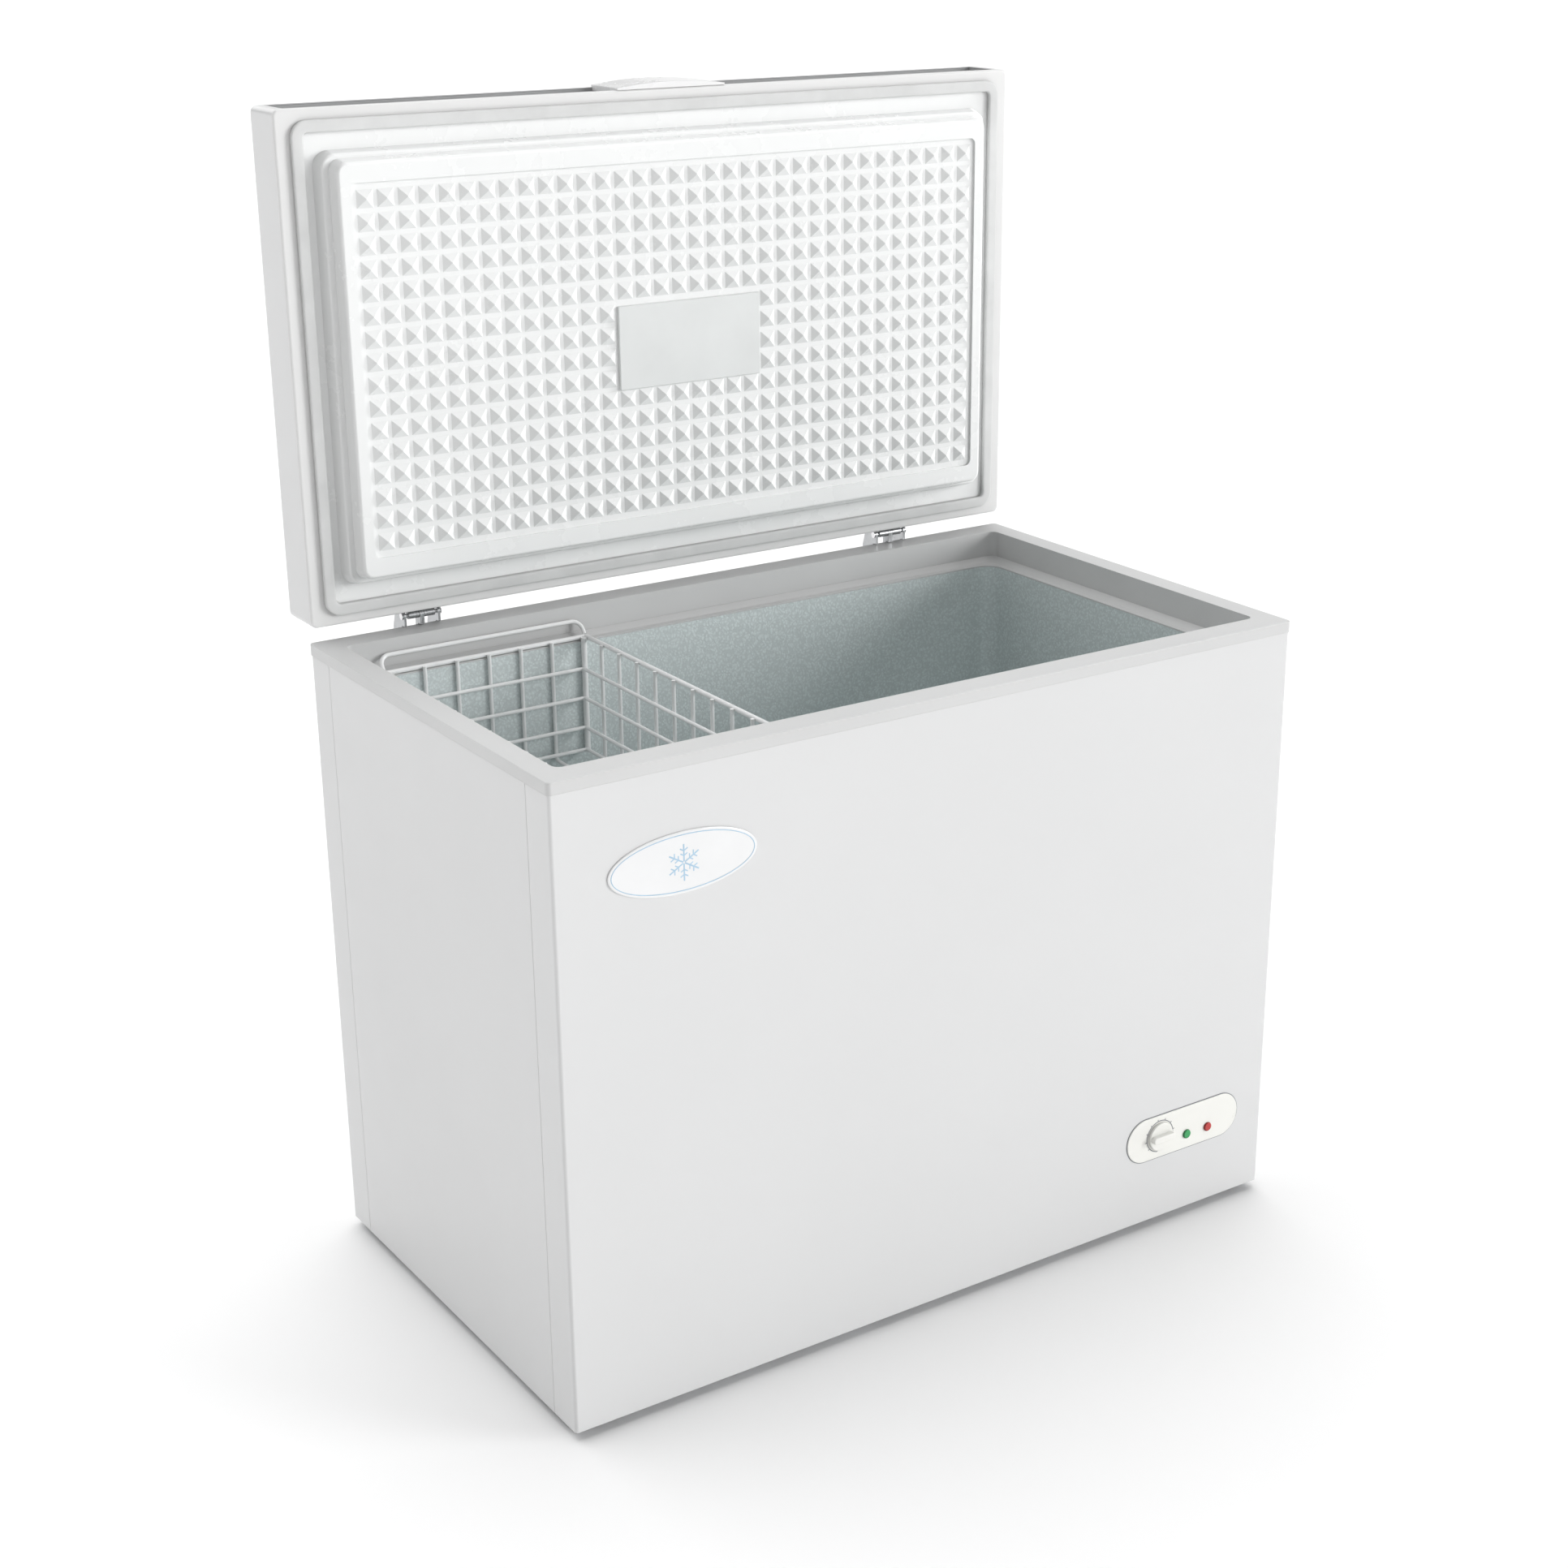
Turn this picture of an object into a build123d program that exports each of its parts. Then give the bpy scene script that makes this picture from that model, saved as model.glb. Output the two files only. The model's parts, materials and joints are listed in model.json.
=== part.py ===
"""Chest freezer: cabinet, counterbalanced lid, hanging wire basket and cooling unit.

Millimetres. The origin is on the floor under the middle of the open freezer's outline.
+X points to the right of someone facing the front, +Y to the back and +Z up. The lid is
drawn open, standing upright on its hinges. Dimensions along Y are counted from the
cabinet's own centre, which HOME places a little in front of the origin.
"""

import os

from build123d import *

os.makedirs("parts", exist_ok=True)

# Cabinet
CABINET_WIDTH = 1030.0
CABINET_DEPTH = 596.0
FOOT_HEIGHT = 12.0
SKIN = 1.2
PANEL_TOP = 784.8
CORNER_RETURN = 50.0
SEAM_GAP = 0.6
FOAM_JOINT = 0.2
CORNER_RADIUS = 4.0

# Rim frame around the mouth
RIM_TOP = 787.0
RIM_PLATE = 2.0
RIM_OVERHANG = 1.4
RIM_SKIRT = 14.3
MOUTH_WIDTH = 974.0
MOUTH_DEPTH = 526.0
FLANGE_WALL = 2.0
FLANGE_BOTTOM = 753.0
LEDGE_TOP = 747.0
LEDGE_BOTTOM = 745.0
LEDGE_SLOPE = 11.0

# Food liner
LINER_WIDTH = 936.0
LINER_DEPTH = 486.0
LINER_FLOOR = 73.0
LINER_SHEET = 1.0
LINER_CORNER = 24.0
HUMP_X = 236.0
HUMP_TOP = 330.0

# Compressor bay under the hump
BAY_X = 285.0
BAY_TOP = 275.0
BASE_TOP = FOOT_HEIGHT + SKIN

# Cooling tubes in the foam
EVAPORATOR_LEVELS = (400.0, 460.0, 520.0, 580.0, 640.0, 700.0)
EVAPORATOR_R = 4.0
CONDENSER_LEVELS = (420.0, 500.0, 580.0, 660.0)
CONDENSER_R = 2.4
TUBE_CORNER = 26.0
EVAPORATOR_RISER_X = -100.0
EVAPORATOR_OUT_X = 430.0
EVAPORATOR_IN_X = 400.0
CONDENSER_RISER_X = 300.0
CONDENSER_IN_X = 480.0
CONDENSER_OUT_X = 320.0
TUBE_END_Z = 264.5

# Compressor
COMPRESSOR_X = 398.0
COMPRESSOR_Y = 150.0
COMPRESSOR_LENGTH = 190.0
COMPRESSOR_BREADTH = 150.0
TRAY_TOP = BASE_TOP + 2.0
GROMMET_HEIGHT = 12.0
COMPRESSOR_BOLT_X = 60.0
COMPRESSOR_BOLT_Y = 84.0

# Control panel
PANEL_X = 377.7
PANEL_Z = 129.5
PANEL_WIDTH = 187.0
PANEL_HEIGHT = 60.0
KNOB_X = 338.0
KNOB_Z = 130.4
KNOB_R = 19.0
LAMP_X = (383.7, 419.4)
LAMP_Z = 119.8
LAMP_R = 6.2
KNOB_REACH = 12.5

# Badge
BADGE_X = -358.0
BADGE_Z = 665.5
BADGE_WIDTH = 185.0
BADGE_HEIGHT = 71.0

# Feet, drain and service parts
FEET = tuple((x, y) for x in (-480.0, 480.0) for y in (-262.0, 262.0))
FOOT_R = 22.0
SCREW_R = 2.5
DRAIN_X = -380.0
DRAIN_Y = -180.0
DRAIN_OUTER_R = 11.0
DRAIN_INNER_R = 8.0
COVER_X = (292.0, 508.0)
COVER_Z = (22.0, 268.0)
VENT_Y = (-90.0, 90.0)
VENT_Z = (60.0, 200.0)
GLAND_X = 470.0
GLAND_Z = 50.0

# Hinges
HINGE_Y = 297.1
HINGE_Z = 800.6
HINGE_X = (-370.6, 331.6)
PIN_R = 2.5
PIN_CLEARANCE = 0.05
KNUCKLE_R = 4.6
CHEEK_INNER = 21.2
CHEEK_OUTER = 24.2
LEAF_HALF = 17.5
SCREW_HOLE_R = 2.1

# Lid, measured from the hinge axis: y runs front to rear and z from underside to top
LID_WIDTH = 1030.0
LID_DEPTH = 600.0
LID_REAR = -5.1
LID_FRONT = LID_REAR - LID_DEPTH
LID_CENTRE = (0.0, LID_REAR - LID_DEPTH / 2)
LID_UNDER = -6.6
LID_TOP = 60.4
LID_CORNER = 8.0
LID_EDGE = 4.0
FRAME_TOP = -3.0
GASKET_WIDTH = 994.8
GASKET_DEPTH = 574.5
GASKET_BAND = 14.0
GASKET_HEIGHT = 6.7
PLUG_FACE = -38.1
FIELD_BASE = -35.1
PLUG_WALL = 2.5
PLUG_SHOULDER = -21.0
PYRAMID_COLUMNS = 34
PYRAMID_ROWS = 16
PYRAMID_PITCH = (25.7, 26.6)
PYRAMID_BASE = 21.5
PYRAMID_HEIGHT = 5.5
PYRAMID_TIP = 0.5
LABEL_WIDTH = 204.0
LABEL_HEIGHT = 103.0
LABEL_Y = -301.6
GROOVE_HALF = 500.0
GROOVE_DEPTH = 4.5
GROOVE_LOW = -0.6
GROOVE_HIGH = 56.4
HANDLE_HALF = 76.0
HANDLE_REACH = 8.0

# Basket
BASKET_RIGHT = -171.3
BASKET_LEFT = -447.0
BASKET_HALF_DEPTH = 245.4
BASKET_TOP = 750.3
BASKET_FLOOR = 597.0
RIM_WIRE_R = 3.0
WIRE_R = 2.4
POST_R = 3.7
BASKET_RINGS = (712.0, 673.5, 634.5, 605.0)
CROSS_WIRES = 5
CROSS_PITCH = 43.2
LONG_WIRES = 10
LONG_PITCH = 43.6
HANGER_R = 2.6
WELD_GAP = 0.2
HANGER_Y = 258.4
HANGER_Z = 768.4

# The open lid stands behind the cabinet, so the cabinet's centre lies forward of the origin
CABINET_Y = (CABINET_DEPTH / 2 + KNOB_REACH - HINGE_Y - LID_TOP) / 2
HOME = Plane(origin=(0, CABINET_Y, 0))
LID = Plane(origin=(0, CABINET_Y + HINGE_Y, HINGE_Z), x_dir=(1, 0, 0), z_dir=(0, 1, 0))
FRONT = Plane(origin=(0, CABINET_Y - CABINET_DEPTH / 2, 0), x_dir=(1, 0, 0), z_dir=(0, -1, 0))
BACK = Plane(origin=(0, CABINET_Y + CABINET_DEPTH / 2, 0), x_dir=(-1, 0, 0), z_dir=(0, 1, 0))
SIDE = Plane(origin=(0, CABINET_Y, 0), x_dir=(0, 1, 0), z_dir=(1, 0, 0))


def home(point):
    """Point measured from the cabinet's centre, given in the part's own frame."""
    return (point[0], point[1] + CABINET_Y, point[2])


def slab(width, depth, radius, low, high, mode=Mode.ADD, at=(0, 0), base=HOME):
    """Block with rounded upright corners between two heights over a base plane."""
    with BuildSketch(base.offset(low)) as outline:
        with Locations(at):
            if radius > 0:
                RectangleRounded(width, depth, radius)
            else:
                Rectangle(width, depth)
    extrude(outline.sketch, amount=high - low, mode=mode)


def block(x, y, z, mode=Mode.ADD):
    """Plain block between limits given as pairs along each axis."""
    centre = ((x[0] + x[1]) / 2, (y[0] + y[1]) / 2, (z[0] + z[1]) / 2)
    with Locations(home(centre)):
        Box(x[1] - x[0], y[1] - y[0], z[1] - z[0], mode=mode)


def disc(radius, low, high, mode=Mode.ADD, at=(0, 0), base=HOME):
    """Cylinder standing on a base plane between two heights."""
    with BuildSketch(base.offset(low)) as outline:
        with Locations(at):
            Circle(radius)
    extrude(outline.sketch, amount=high - low, mode=mode)


def frustum(lower, upper, mode=Mode.ADD, at=(0, 0), base=HOME):
    """Tapered block; each end is (width, depth, radius, height)."""
    with BuildSketch(base.offset(lower[3])) as first:
        with Locations(at):
            RectangleRounded(lower[0], lower[1], lower[2])
    with BuildSketch(base.offset(upper[3])) as second:
        with Locations(at):
            RectangleRounded(upper[0], upper[1], upper[2])
    loft([first.sketch, second.sketch], mode=mode)


def pipe(points, radius, bend, mode=Mode.ADD):
    """Round wire or tube along a bent line."""
    with BuildLine(HOME) as route:
        if bend > 0:
            FilletPolyline(*points, radius=bend)
        else:
            Polyline(*points)
    with BuildSketch(Plane(origin=route.line @ 0, z_dir=route.line % 0)) as section:
        Circle(radius)
    sweep(section.sketch, path=route.line, mode=mode)


def hoop(width, depth, corner, radius, height, at=(0, 0)):
    """Closed rounded-rectangle wire lying level at a height."""
    left = at[0] - width / 2
    right = at[0] + width / 2
    near = at[1] - depth / 2
    far = at[1] + depth / 2
    corners = ((left, near, height), (right, near, height), (right, far, height), (left, far, height))
    with BuildLine(HOME) as route:
        FilletPolyline(*corners, radius=corner, close=True)
    with BuildSketch(Plane(origin=route.line @ 0, z_dir=route.line % 0)) as section:
        Circle(radius)
    sweep(section.sketch, path=route.line)


def coil(at, low, height, radius, pitch, wire):
    """Helical spring standing on end."""
    with BuildLine(HOME) as route:
        Helix(pitch=pitch, height=height, radius=radius, center=(at[0], at[1], low))
    with BuildSketch(Plane(origin=route.line @ 0, z_dir=route.line % 0)) as section:
        Circle(wire)
    sweep(section.sketch, path=route.line, is_frenet=True)


def oval(half_x, half_y, height, at):
    """Elliptical outline at a height."""
    with BuildSketch(HOME.offset(height)) as outline:
        with Locations(at):
            Ellipse(half_x, half_y)
    return outline.sketch


def bolt(point, direction, head_r, head_h, shank_r, shank_l, sides=0):
    """Screw whose shank leaves the point along the direction, with its head behind it."""
    seat = Plane(origin=home(point), z_dir=direction)
    with BuildSketch(seat.offset(-head_h)) as head:
        if sides:
            RegularPolygon(head_r, sides)
        else:
            Circle(head_r)
    extrude(head.sketch, amount=head_h)
    with BuildSketch(seat) as shank:
        Circle(shank_r)
    extrude(shank.sketch, amount=shank_l)


def bore(point, direction, radius, length):
    """Round hole that starts at the point and runs along the direction."""
    with BuildSketch(Plane(origin=home(point), z_dir=direction)) as hole:
        Circle(radius)
    extrude(hole.sketch, amount=length, mode=Mode.SUBTRACT)


# Points shared by several pieces
half_w = CABINET_WIDTH / 2
half_d = CABINET_DEPTH / 2
inner_w = CABINET_WIDTH - 2 * SKIN
inner_d = CABINET_DEPTH - 2 * SKIN
evaporator_y = LINER_DEPTH / 2 + LINER_SHEET + EVAPORATOR_R
evaporator_x = LINER_WIDTH / 2 + LINER_SHEET + EVAPORATOR_R
condenser_y = inner_d / 2 - 3.0
condenser_x = inner_w / 2 - 3.0
bracket_screws = tuple(
    (x + side * 32.0, z) for x in HINGE_X for side in (-1, 1) for z in (710.0, 750.0)
)
leaf_screws = tuple((x, z) for x in HINGE_X for z in (22.0, 42.0))
cover_screws = tuple((x, z) for x in (297.0, 503.0) for z in (27.0, 263.0))
handle_screws = (-55.0, 55.0)
compressor_bolts = tuple(
    (COMPRESSOR_X + sx * COMPRESSOR_BOLT_X, COMPRESSOR_Y + sy * COMPRESSOR_BOLT_Y)
    for sx in (-1, 1)
    for sy in (-1, 1)
)


def wrapped_panel(side):
    """Front (-1) or back (+1) sheet with its corners folded round to the side seams."""
    low = FOOT_HEIGHT
    outer = half_d
    slab(CABINET_WIDTH, CABINET_DEPTH, CORNER_RADIUS, low, PANEL_TOP)
    slab(inner_w, inner_d, CORNER_RADIUS - SKIN, low, PANEL_TOP, Mode.SUBTRACT)
    kept = outer - CORNER_RETURN
    if side < 0:
        block((-600, 600), (-kept, 400), (0, 900), Mode.SUBTRACT)
    else:
        block((-600, 600), (-400, kept), (0, 900), Mode.SUBTRACT)


# Front sheet, with the hole that the control panel sits in
with BuildPart() as front_panel:
    wrapped_panel(-1)
    slab(
        PANEL_WIDTH - 6, PANEL_HEIGHT - 6, PANEL_HEIGHT / 2 - 3.2, -5, 5,
        Mode.SUBTRACT, (PANEL_X, PANEL_Z), FRONT,
    )
front_panel.part.label = "front_panel"
export_step(front_panel.part, "parts/front_panel.step")

# Back sheet, with the service opening and the holes for the hinge screws
with BuildPart() as back_panel:
    wrapped_panel(1)
    block((300, 500), (280, 310), (30, 260), Mode.SUBTRACT)
    for x, z in bracket_screws:
        bore((x, half_d + 1, z), (0, -1, 0), SCREW_HOLE_R, 5)
    for x, z in cover_screws:
        bore((x, half_d + 1, z), (0, -1, 0), SCREW_HOLE_R, 5)
back_panel.part.label = "back_panel"
export_step(back_panel.part, "parts/back_panel.step")

side_length = CABINET_DEPTH - 2 * CORNER_RETURN - 2 * SEAM_GAP
with BuildPart() as left_side_panel:
    block((-half_w, -half_w + SKIN), (-side_length / 2, side_length / 2), (FOOT_HEIGHT, PANEL_TOP))
left_side_panel.part.label = "left_side_panel"
export_step(left_side_panel.part, "parts/left_side_panel.step")

with BuildPart() as right_side_panel:
    block((half_w - SKIN, half_w), (-side_length / 2, side_length / 2), (FOOT_HEIGHT, PANEL_TOP))
    block((half_w - 5, half_w + 5), VENT_Y, VENT_Z, Mode.SUBTRACT)
right_side_panel.part.label = "right_side_panel"
export_step(right_side_panel.part, "parts/right_side_panel.step")

# Louvred plastic grille that lets air into the compressor bay
with BuildPart() as side_vent_grille:
    block((half_w, half_w + 1.3), (VENT_Y[0] - 6, VENT_Y[1] + 6), (VENT_Z[0] - 6, VENT_Z[1] + 6))
    block((half_w - 6, half_w), (VENT_Y[0] + 0.3, VENT_Y[1] - 0.3), (VENT_Z[0] + 0.3, VENT_Z[1] - 0.3))
    block((half_w - 7, half_w - 1.5), (VENT_Y[0] + 3, VENT_Y[1] - 3), (VENT_Z[0] + 3, VENT_Z[1] - 3), Mode.SUBTRACT)
    for row in range(9):
        slot_z = VENT_Z[0] + 14 + row * 14
        block((half_w - 2, half_w + 2), (VENT_Y[0] + 8, -3), (slot_z - 2.5, slot_z + 2.5), Mode.SUBTRACT)
        block((half_w - 2, half_w + 2), (3, VENT_Y[1] - 8), (slot_z - 2.5, slot_z + 2.5), Mode.SUBTRACT)
side_vent_grille.part.label = "side_vent_grille"
export_step(side_vent_grille.part, "parts/side_vent_grille.step")

# Bottom sheet, open under the compressor tray
with BuildPart() as base_pan:
    slab(inner_w - 0.2, inner_d - 0.2, CORNER_RADIUS - SKIN, FOOT_HEIGHT, BASE_TOP)
    block((310, 468), (40, 244), (0, 30), Mode.SUBTRACT)
    disc(DRAIN_OUTER_R + 0.1, 0, 30, Mode.SUBTRACT, (DRAIN_X, DRAIN_Y))
    for point in FEET:
        disc(SCREW_R + 0.1, 0, 30, Mode.SUBTRACT, point)
base_pan.part.label = "base_pan"
export_step(base_pan.part, "parts/base_pan.step")


def tub(grow, top, mode):
    """Inside of the food liner, with the step over the compressor, grown by a margin."""
    slab(
        LINER_WIDTH + 2 * grow, LINER_DEPTH + 2 * grow, LINER_CORNER + grow,
        LINER_FLOOR - grow, top, mode,
    )


def hump(shrink, mode):
    """Step at the right-hand end of the liner."""
    block(
        (HUMP_X + shrink, LINER_WIDTH / 2 + 20),
        (-LINER_DEPTH / 2 - 20, LINER_DEPTH / 2 + 20),
        (LINER_FLOOR - 20, HUMP_TOP - shrink),
        mode,
    )


# Food liner: a thin embossed sheet tub that steps up over the compressor
with BuildPart() as liner_inside:
    tub(0, LEDGE_BOTTOM, Mode.ADD)
    hump(0, Mode.SUBTRACT)
with BuildPart() as liner_outside:
    tub(LINER_SHEET, LEDGE_BOTTOM, Mode.ADD)
    hump(LINER_SHEET, Mode.SUBTRACT)
with BuildPart() as inner_liner:
    add(liner_outside.part)
    add(liner_inside.part, mode=Mode.SUBTRACT)
    disc(DRAIN_OUTER_R + 0.05, 40, 90, Mode.SUBTRACT, (DRAIN_X, DRAIN_Y))
inner_liner.part.label = "inner_liner"
export_step(inner_liner.part, "parts/inner_liner.step")

# Foam between the skins, cast as one slab per wall, with channels for the cooling tubes
with BuildPart() as foam_insulation:
    slab(inner_w, inner_d, CORNER_RADIUS - SKIN, BASE_TOP, PANEL_TOP)
    slab(
        MOUTH_WIDTH + 2 * FLANGE_WALL, MOUTH_DEPTH + 2 * FLANGE_WALL, 12,
        LEDGE_BOTTOM, 800, Mode.SUBTRACT,
    )
    add(liner_outside.part, mode=Mode.SUBTRACT)
    block((BAY_X, 600), (-400, 400), (0, BAY_TOP), Mode.SUBTRACT)
    for level in EVAPORATOR_LEVELS:
        with BuildSketch(HOME.offset(level - EVAPORATOR_R - 0.2)):
            RectangleRounded(2 * evaporator_x + 8.4, 2 * evaporator_y + 8.4, TUBE_CORNER + 4.2)
            Rectangle(LINER_WIDTH - 20, LINER_DEPTH - 20, mode=Mode.SUBTRACT)
        extrude(amount=2 * EVAPORATOR_R + 0.4, mode=Mode.SUBTRACT)
    riser_y = (-evaporator_y - 4.2, -LINER_DEPTH / 2)
    block(
        (EVAPORATOR_RISER_X - 4.2, EVAPORATOR_RISER_X + 4.2), riser_y,
        (EVAPORATOR_LEVELS[0], EVAPORATOR_LEVELS[-1]), Mode.SUBTRACT,
    )
    for x in (EVAPORATOR_OUT_X, EVAPORATOR_IN_X):
        block(
            (x - 4.2, x + 4.2), (LINER_DEPTH / 2 + LINER_SHEET, evaporator_y + 4.2),
            (BAY_TOP - 1, EVAPORATOR_LEVELS[0]), Mode.SUBTRACT,
        )
    for level in CONDENSER_LEVELS:
        with BuildSketch(HOME.offset(level - 2.8)):
            Rectangle(1100, 700)
            RectangleRounded(2 * condenser_x - 5.6, 2 * condenser_y - 5.6, 9, mode=Mode.SUBTRACT)
        extrude(amount=5.6, mode=Mode.SUBTRACT)
    block(
        (CONDENSER_RISER_X - 2.8, CONDENSER_RISER_X + 2.8), (-400, -condenser_y + 2.8),
        (CONDENSER_LEVELS[0], CONDENSER_LEVELS[-1]), Mode.SUBTRACT,
    )
    for x in (CONDENSER_IN_X, CONDENSER_OUT_X):
        block(
            (x - 2.8, x + 2.8), (condenser_y - 2.8, 400), (BAY_TOP - 1, CONDENSER_LEVELS[0]),
            Mode.SUBTRACT,
        )
    disc(DRAIN_OUTER_R + 0.05, 0, 90, Mode.SUBTRACT, (DRAIN_X, DRAIN_Y))
    for point in FEET:
        disc(SCREW_R + 0.05, 0, 24.5, Mode.SUBTRACT, point)
    disc(1.6, BAY_TOP - 1, 420.5, Mode.SUBTRACT, (KNOB_X, -268))
    for x, z in bracket_screws:
        bore((x, half_d, z), (0, -1, 0), 2.05, 20)
    across = (-600, 600)
    along = (-400, 400)
    floor_z = LINER_FLOOR - LINER_SHEET
    wall_z = (floor_z, LEDGE_BOTTOM)
    rim_z = (LEDGE_BOTTOM, RIM_TOP)
    liner_x = LINER_WIDTH / 2 + LINER_SHEET
    liner_y = LINER_DEPTH / 2 + LINER_SHEET
    flange_x = MOUTH_WIDTH / 2 + FLANGE_WALL
    flange_y = MOUTH_DEPTH / 2 + FLANGE_WALL
    hump_roof = HUMP_TOP - LINER_SHEET
    block(across, along, (floor_z - FOAM_JOINT, floor_z), Mode.SUBTRACT)
    block(across, along, (LEDGE_BOTTOM - FOAM_JOINT, LEDGE_BOTTOM), Mode.SUBTRACT)
    block((BAY_X - FOAM_JOINT, BAY_X), along, wall_z, Mode.SUBTRACT)
    block(
        (BAY_X, liner_x + FOAM_JOINT), (-liner_y, liner_y), (hump_roof - FOAM_JOINT, hump_roof),
        Mode.SUBTRACT,
    )
    for side in (-1, 1):
        wall_y = sorted((side * liner_y, side * (liner_y + FOAM_JOINT)))
        wall_x = sorted((side * liner_x, side * (liner_x + FOAM_JOINT)))
        rim_y = sorted((side * flange_y, side * (flange_y + FOAM_JOINT)))
        rim_x = sorted((side * flange_x, side * (flange_x + FOAM_JOINT)))
        block(across, wall_y, wall_z, Mode.SUBTRACT)
        block(wall_x, (-liner_y, liner_y), wall_z, Mode.SUBTRACT)
        block(across, rim_y, rim_z, Mode.SUBTRACT)
        block(rim_x, (-flange_y, flange_y), rim_z, Mode.SUBTRACT)
foam_insulation.part.label = "foam_insulation"
export_step(foam_insulation.part, "parts/foam_insulation.step")

# Plastic frame that closes the top of the walls and lines the mouth
with BuildPart() as top_rim_frame:
    slab(
        CABINET_WIDTH + 2 * RIM_OVERHANG, CABINET_DEPTH + 2 * RIM_OVERHANG, 5.4,
        RIM_TOP - RIM_SKIRT, RIM_TOP,
    )
    rim_edges = top_rim_frame.faces().sort_by(Axis.Z)[-1].edges()
    fillet(rim_edges, 1.2)
    slab(
        CABINET_WIDTH + 0.2, CABINET_DEPTH + 0.2, CORNER_RADIUS + 0.1,
        RIM_TOP - RIM_SKIRT, RIM_TOP - RIM_PLATE, Mode.SUBTRACT,
    )
    slab(
        MOUTH_WIDTH + 2 * FLANGE_WALL, MOUTH_DEPTH + 2 * FLANGE_WALL, 12,
        FLANGE_BOTTOM, RIM_TOP - RIM_PLATE / 2,
    )
    slab(MOUTH_WIDTH, MOUTH_DEPTH, 10, FLANGE_BOTTOM - 1, RIM_TOP + 1, Mode.SUBTRACT)
top_rim_frame.part.label = "top_rim_frame"
export_step(top_rim_frame.part, "parts/top_rim_frame.step")

# Sloped ledge strip under the frame, which covers the liner's edge and carries the basket
with BuildPart() as rim_ledge:
    slab(
        MOUTH_WIDTH + 2 * FLANGE_WALL, MOUTH_DEPTH + 2 * FLANGE_WALL, 12,
        LEDGE_BOTTOM, FLANGE_BOTTOM,
    )
    frustum(
        (MOUTH_WIDTH - 2 * LEDGE_SLOPE, MOUTH_DEPTH - 2 * LEDGE_SLOPE, 14, LEDGE_TOP),
        (MOUTH_WIDTH, MOUTH_DEPTH, 10, FLANGE_BOTTOM),
        Mode.SUBTRACT,
    )
    slab(LINER_WIDTH, LINER_DEPTH, LINER_CORNER, LEDGE_BOTTOM - 1, RIM_TOP, Mode.SUBTRACT)
rim_ledge.part.label = "rim_ledge"
export_step(rim_ledge.part, "parts/rim_ledge.step")

# Evaporator: tube wound round the liner, with two tails into the bay
with BuildPart() as evaporator_coil:
    for level in EVAPORATOR_LEVELS:
        hoop(2 * evaporator_x, 2 * evaporator_y, TUBE_CORNER, EVAPORATOR_R, level)
    pipe(
        (
            (EVAPORATOR_RISER_X, -evaporator_y, EVAPORATOR_LEVELS[0]),
            (EVAPORATOR_RISER_X, -evaporator_y, EVAPORATOR_LEVELS[-1]),
        ),
        3.4, 0,
    )
    for x in (EVAPORATOR_OUT_X, EVAPORATOR_IN_X):
        pipe(((x, evaporator_y, EVAPORATOR_LEVELS[0]), (x, evaporator_y, TUBE_END_Z)), 3.4, 0)
evaporator_coil.part.label = "evaporator_coil"
export_step(evaporator_coil.part, "parts/evaporator_coil.step")

# Condenser: thinner tube laid against the inside of the outer sheets
with BuildPart() as condenser_coil:
    for level in CONDENSER_LEVELS:
        hoop(2 * condenser_x, 2 * condenser_y, 12, CONDENSER_R, level)
    pipe(
        (
            (CONDENSER_RISER_X, -condenser_y, CONDENSER_LEVELS[0]),
            (CONDENSER_RISER_X, -condenser_y, CONDENSER_LEVELS[-1]),
        ),
        2.0, 0,
    )
    for x in (CONDENSER_IN_X, CONDENSER_OUT_X):
        pipe(((x, condenser_y, CONDENSER_LEVELS[0]), (x, condenser_y, TUBE_END_Z)), 2.0, 0)
condenser_coil.part.label = "condenser_coil"
export_step(condenser_coil.part, "parts/condenser_coil.step")

# Feet and their screws
with BuildPart() as feet:
    for point in FEET:
        disc(FOOT_R, 0, FOOT_HEIGHT, at=point)
    chamfer(feet.faces().sort_by(Axis.Z)[:4].edges(), 2)
    for point in FEET:
        disc(7, -1, 7, Mode.SUBTRACT, point)
        disc(SCREW_R + 0.1, 0, 20, Mode.SUBTRACT, point)
feet.part.label = "feet"
export_step(feet.part, "parts/feet.step")

with BuildPart() as foot_screws:
    for x, y in FEET:
        bolt((x, y, 7), (0, 0, 1), 5, 3, SCREW_R, 17, 6)
foot_screws.part.label = "foot_screws"
export_step(foot_screws.part, "parts/foot_screws.step")

# Compressor with its tray, rubber mounts and bolts
with BuildPart() as compressor_tray:
    block((288, 511), (4, 294), (BASE_TOP, TRAY_TOP))
    block((288, 290), (4, 294), (TRAY_TOP, TRAY_TOP + 10))
    block((509, 511), (4, 294), (TRAY_TOP, TRAY_TOP + 10))
    for point in compressor_bolts:
        disc(3.1, 0, 30, Mode.SUBTRACT, point)
    disc(SCREW_R + 0.1, 0, 30, Mode.SUBTRACT, FEET[3])
compressor_tray.part.label = "compressor_tray"
export_step(compressor_tray.part, "parts/compressor_tray.step")

plate_low = TRAY_TOP + GROMMET_HEIGHT
plate_top = plate_low + 3.0
with BuildPart() as compressor_grommets:
    for point in compressor_bolts:
        disc(11, TRAY_TOP, plate_low, at=point)
        disc(3.1, 0, 40, Mode.SUBTRACT, point)
compressor_grommets.part.label = "compressor_grommets"
export_step(compressor_grommets.part, "parts/compressor_grommets.step")

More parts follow.
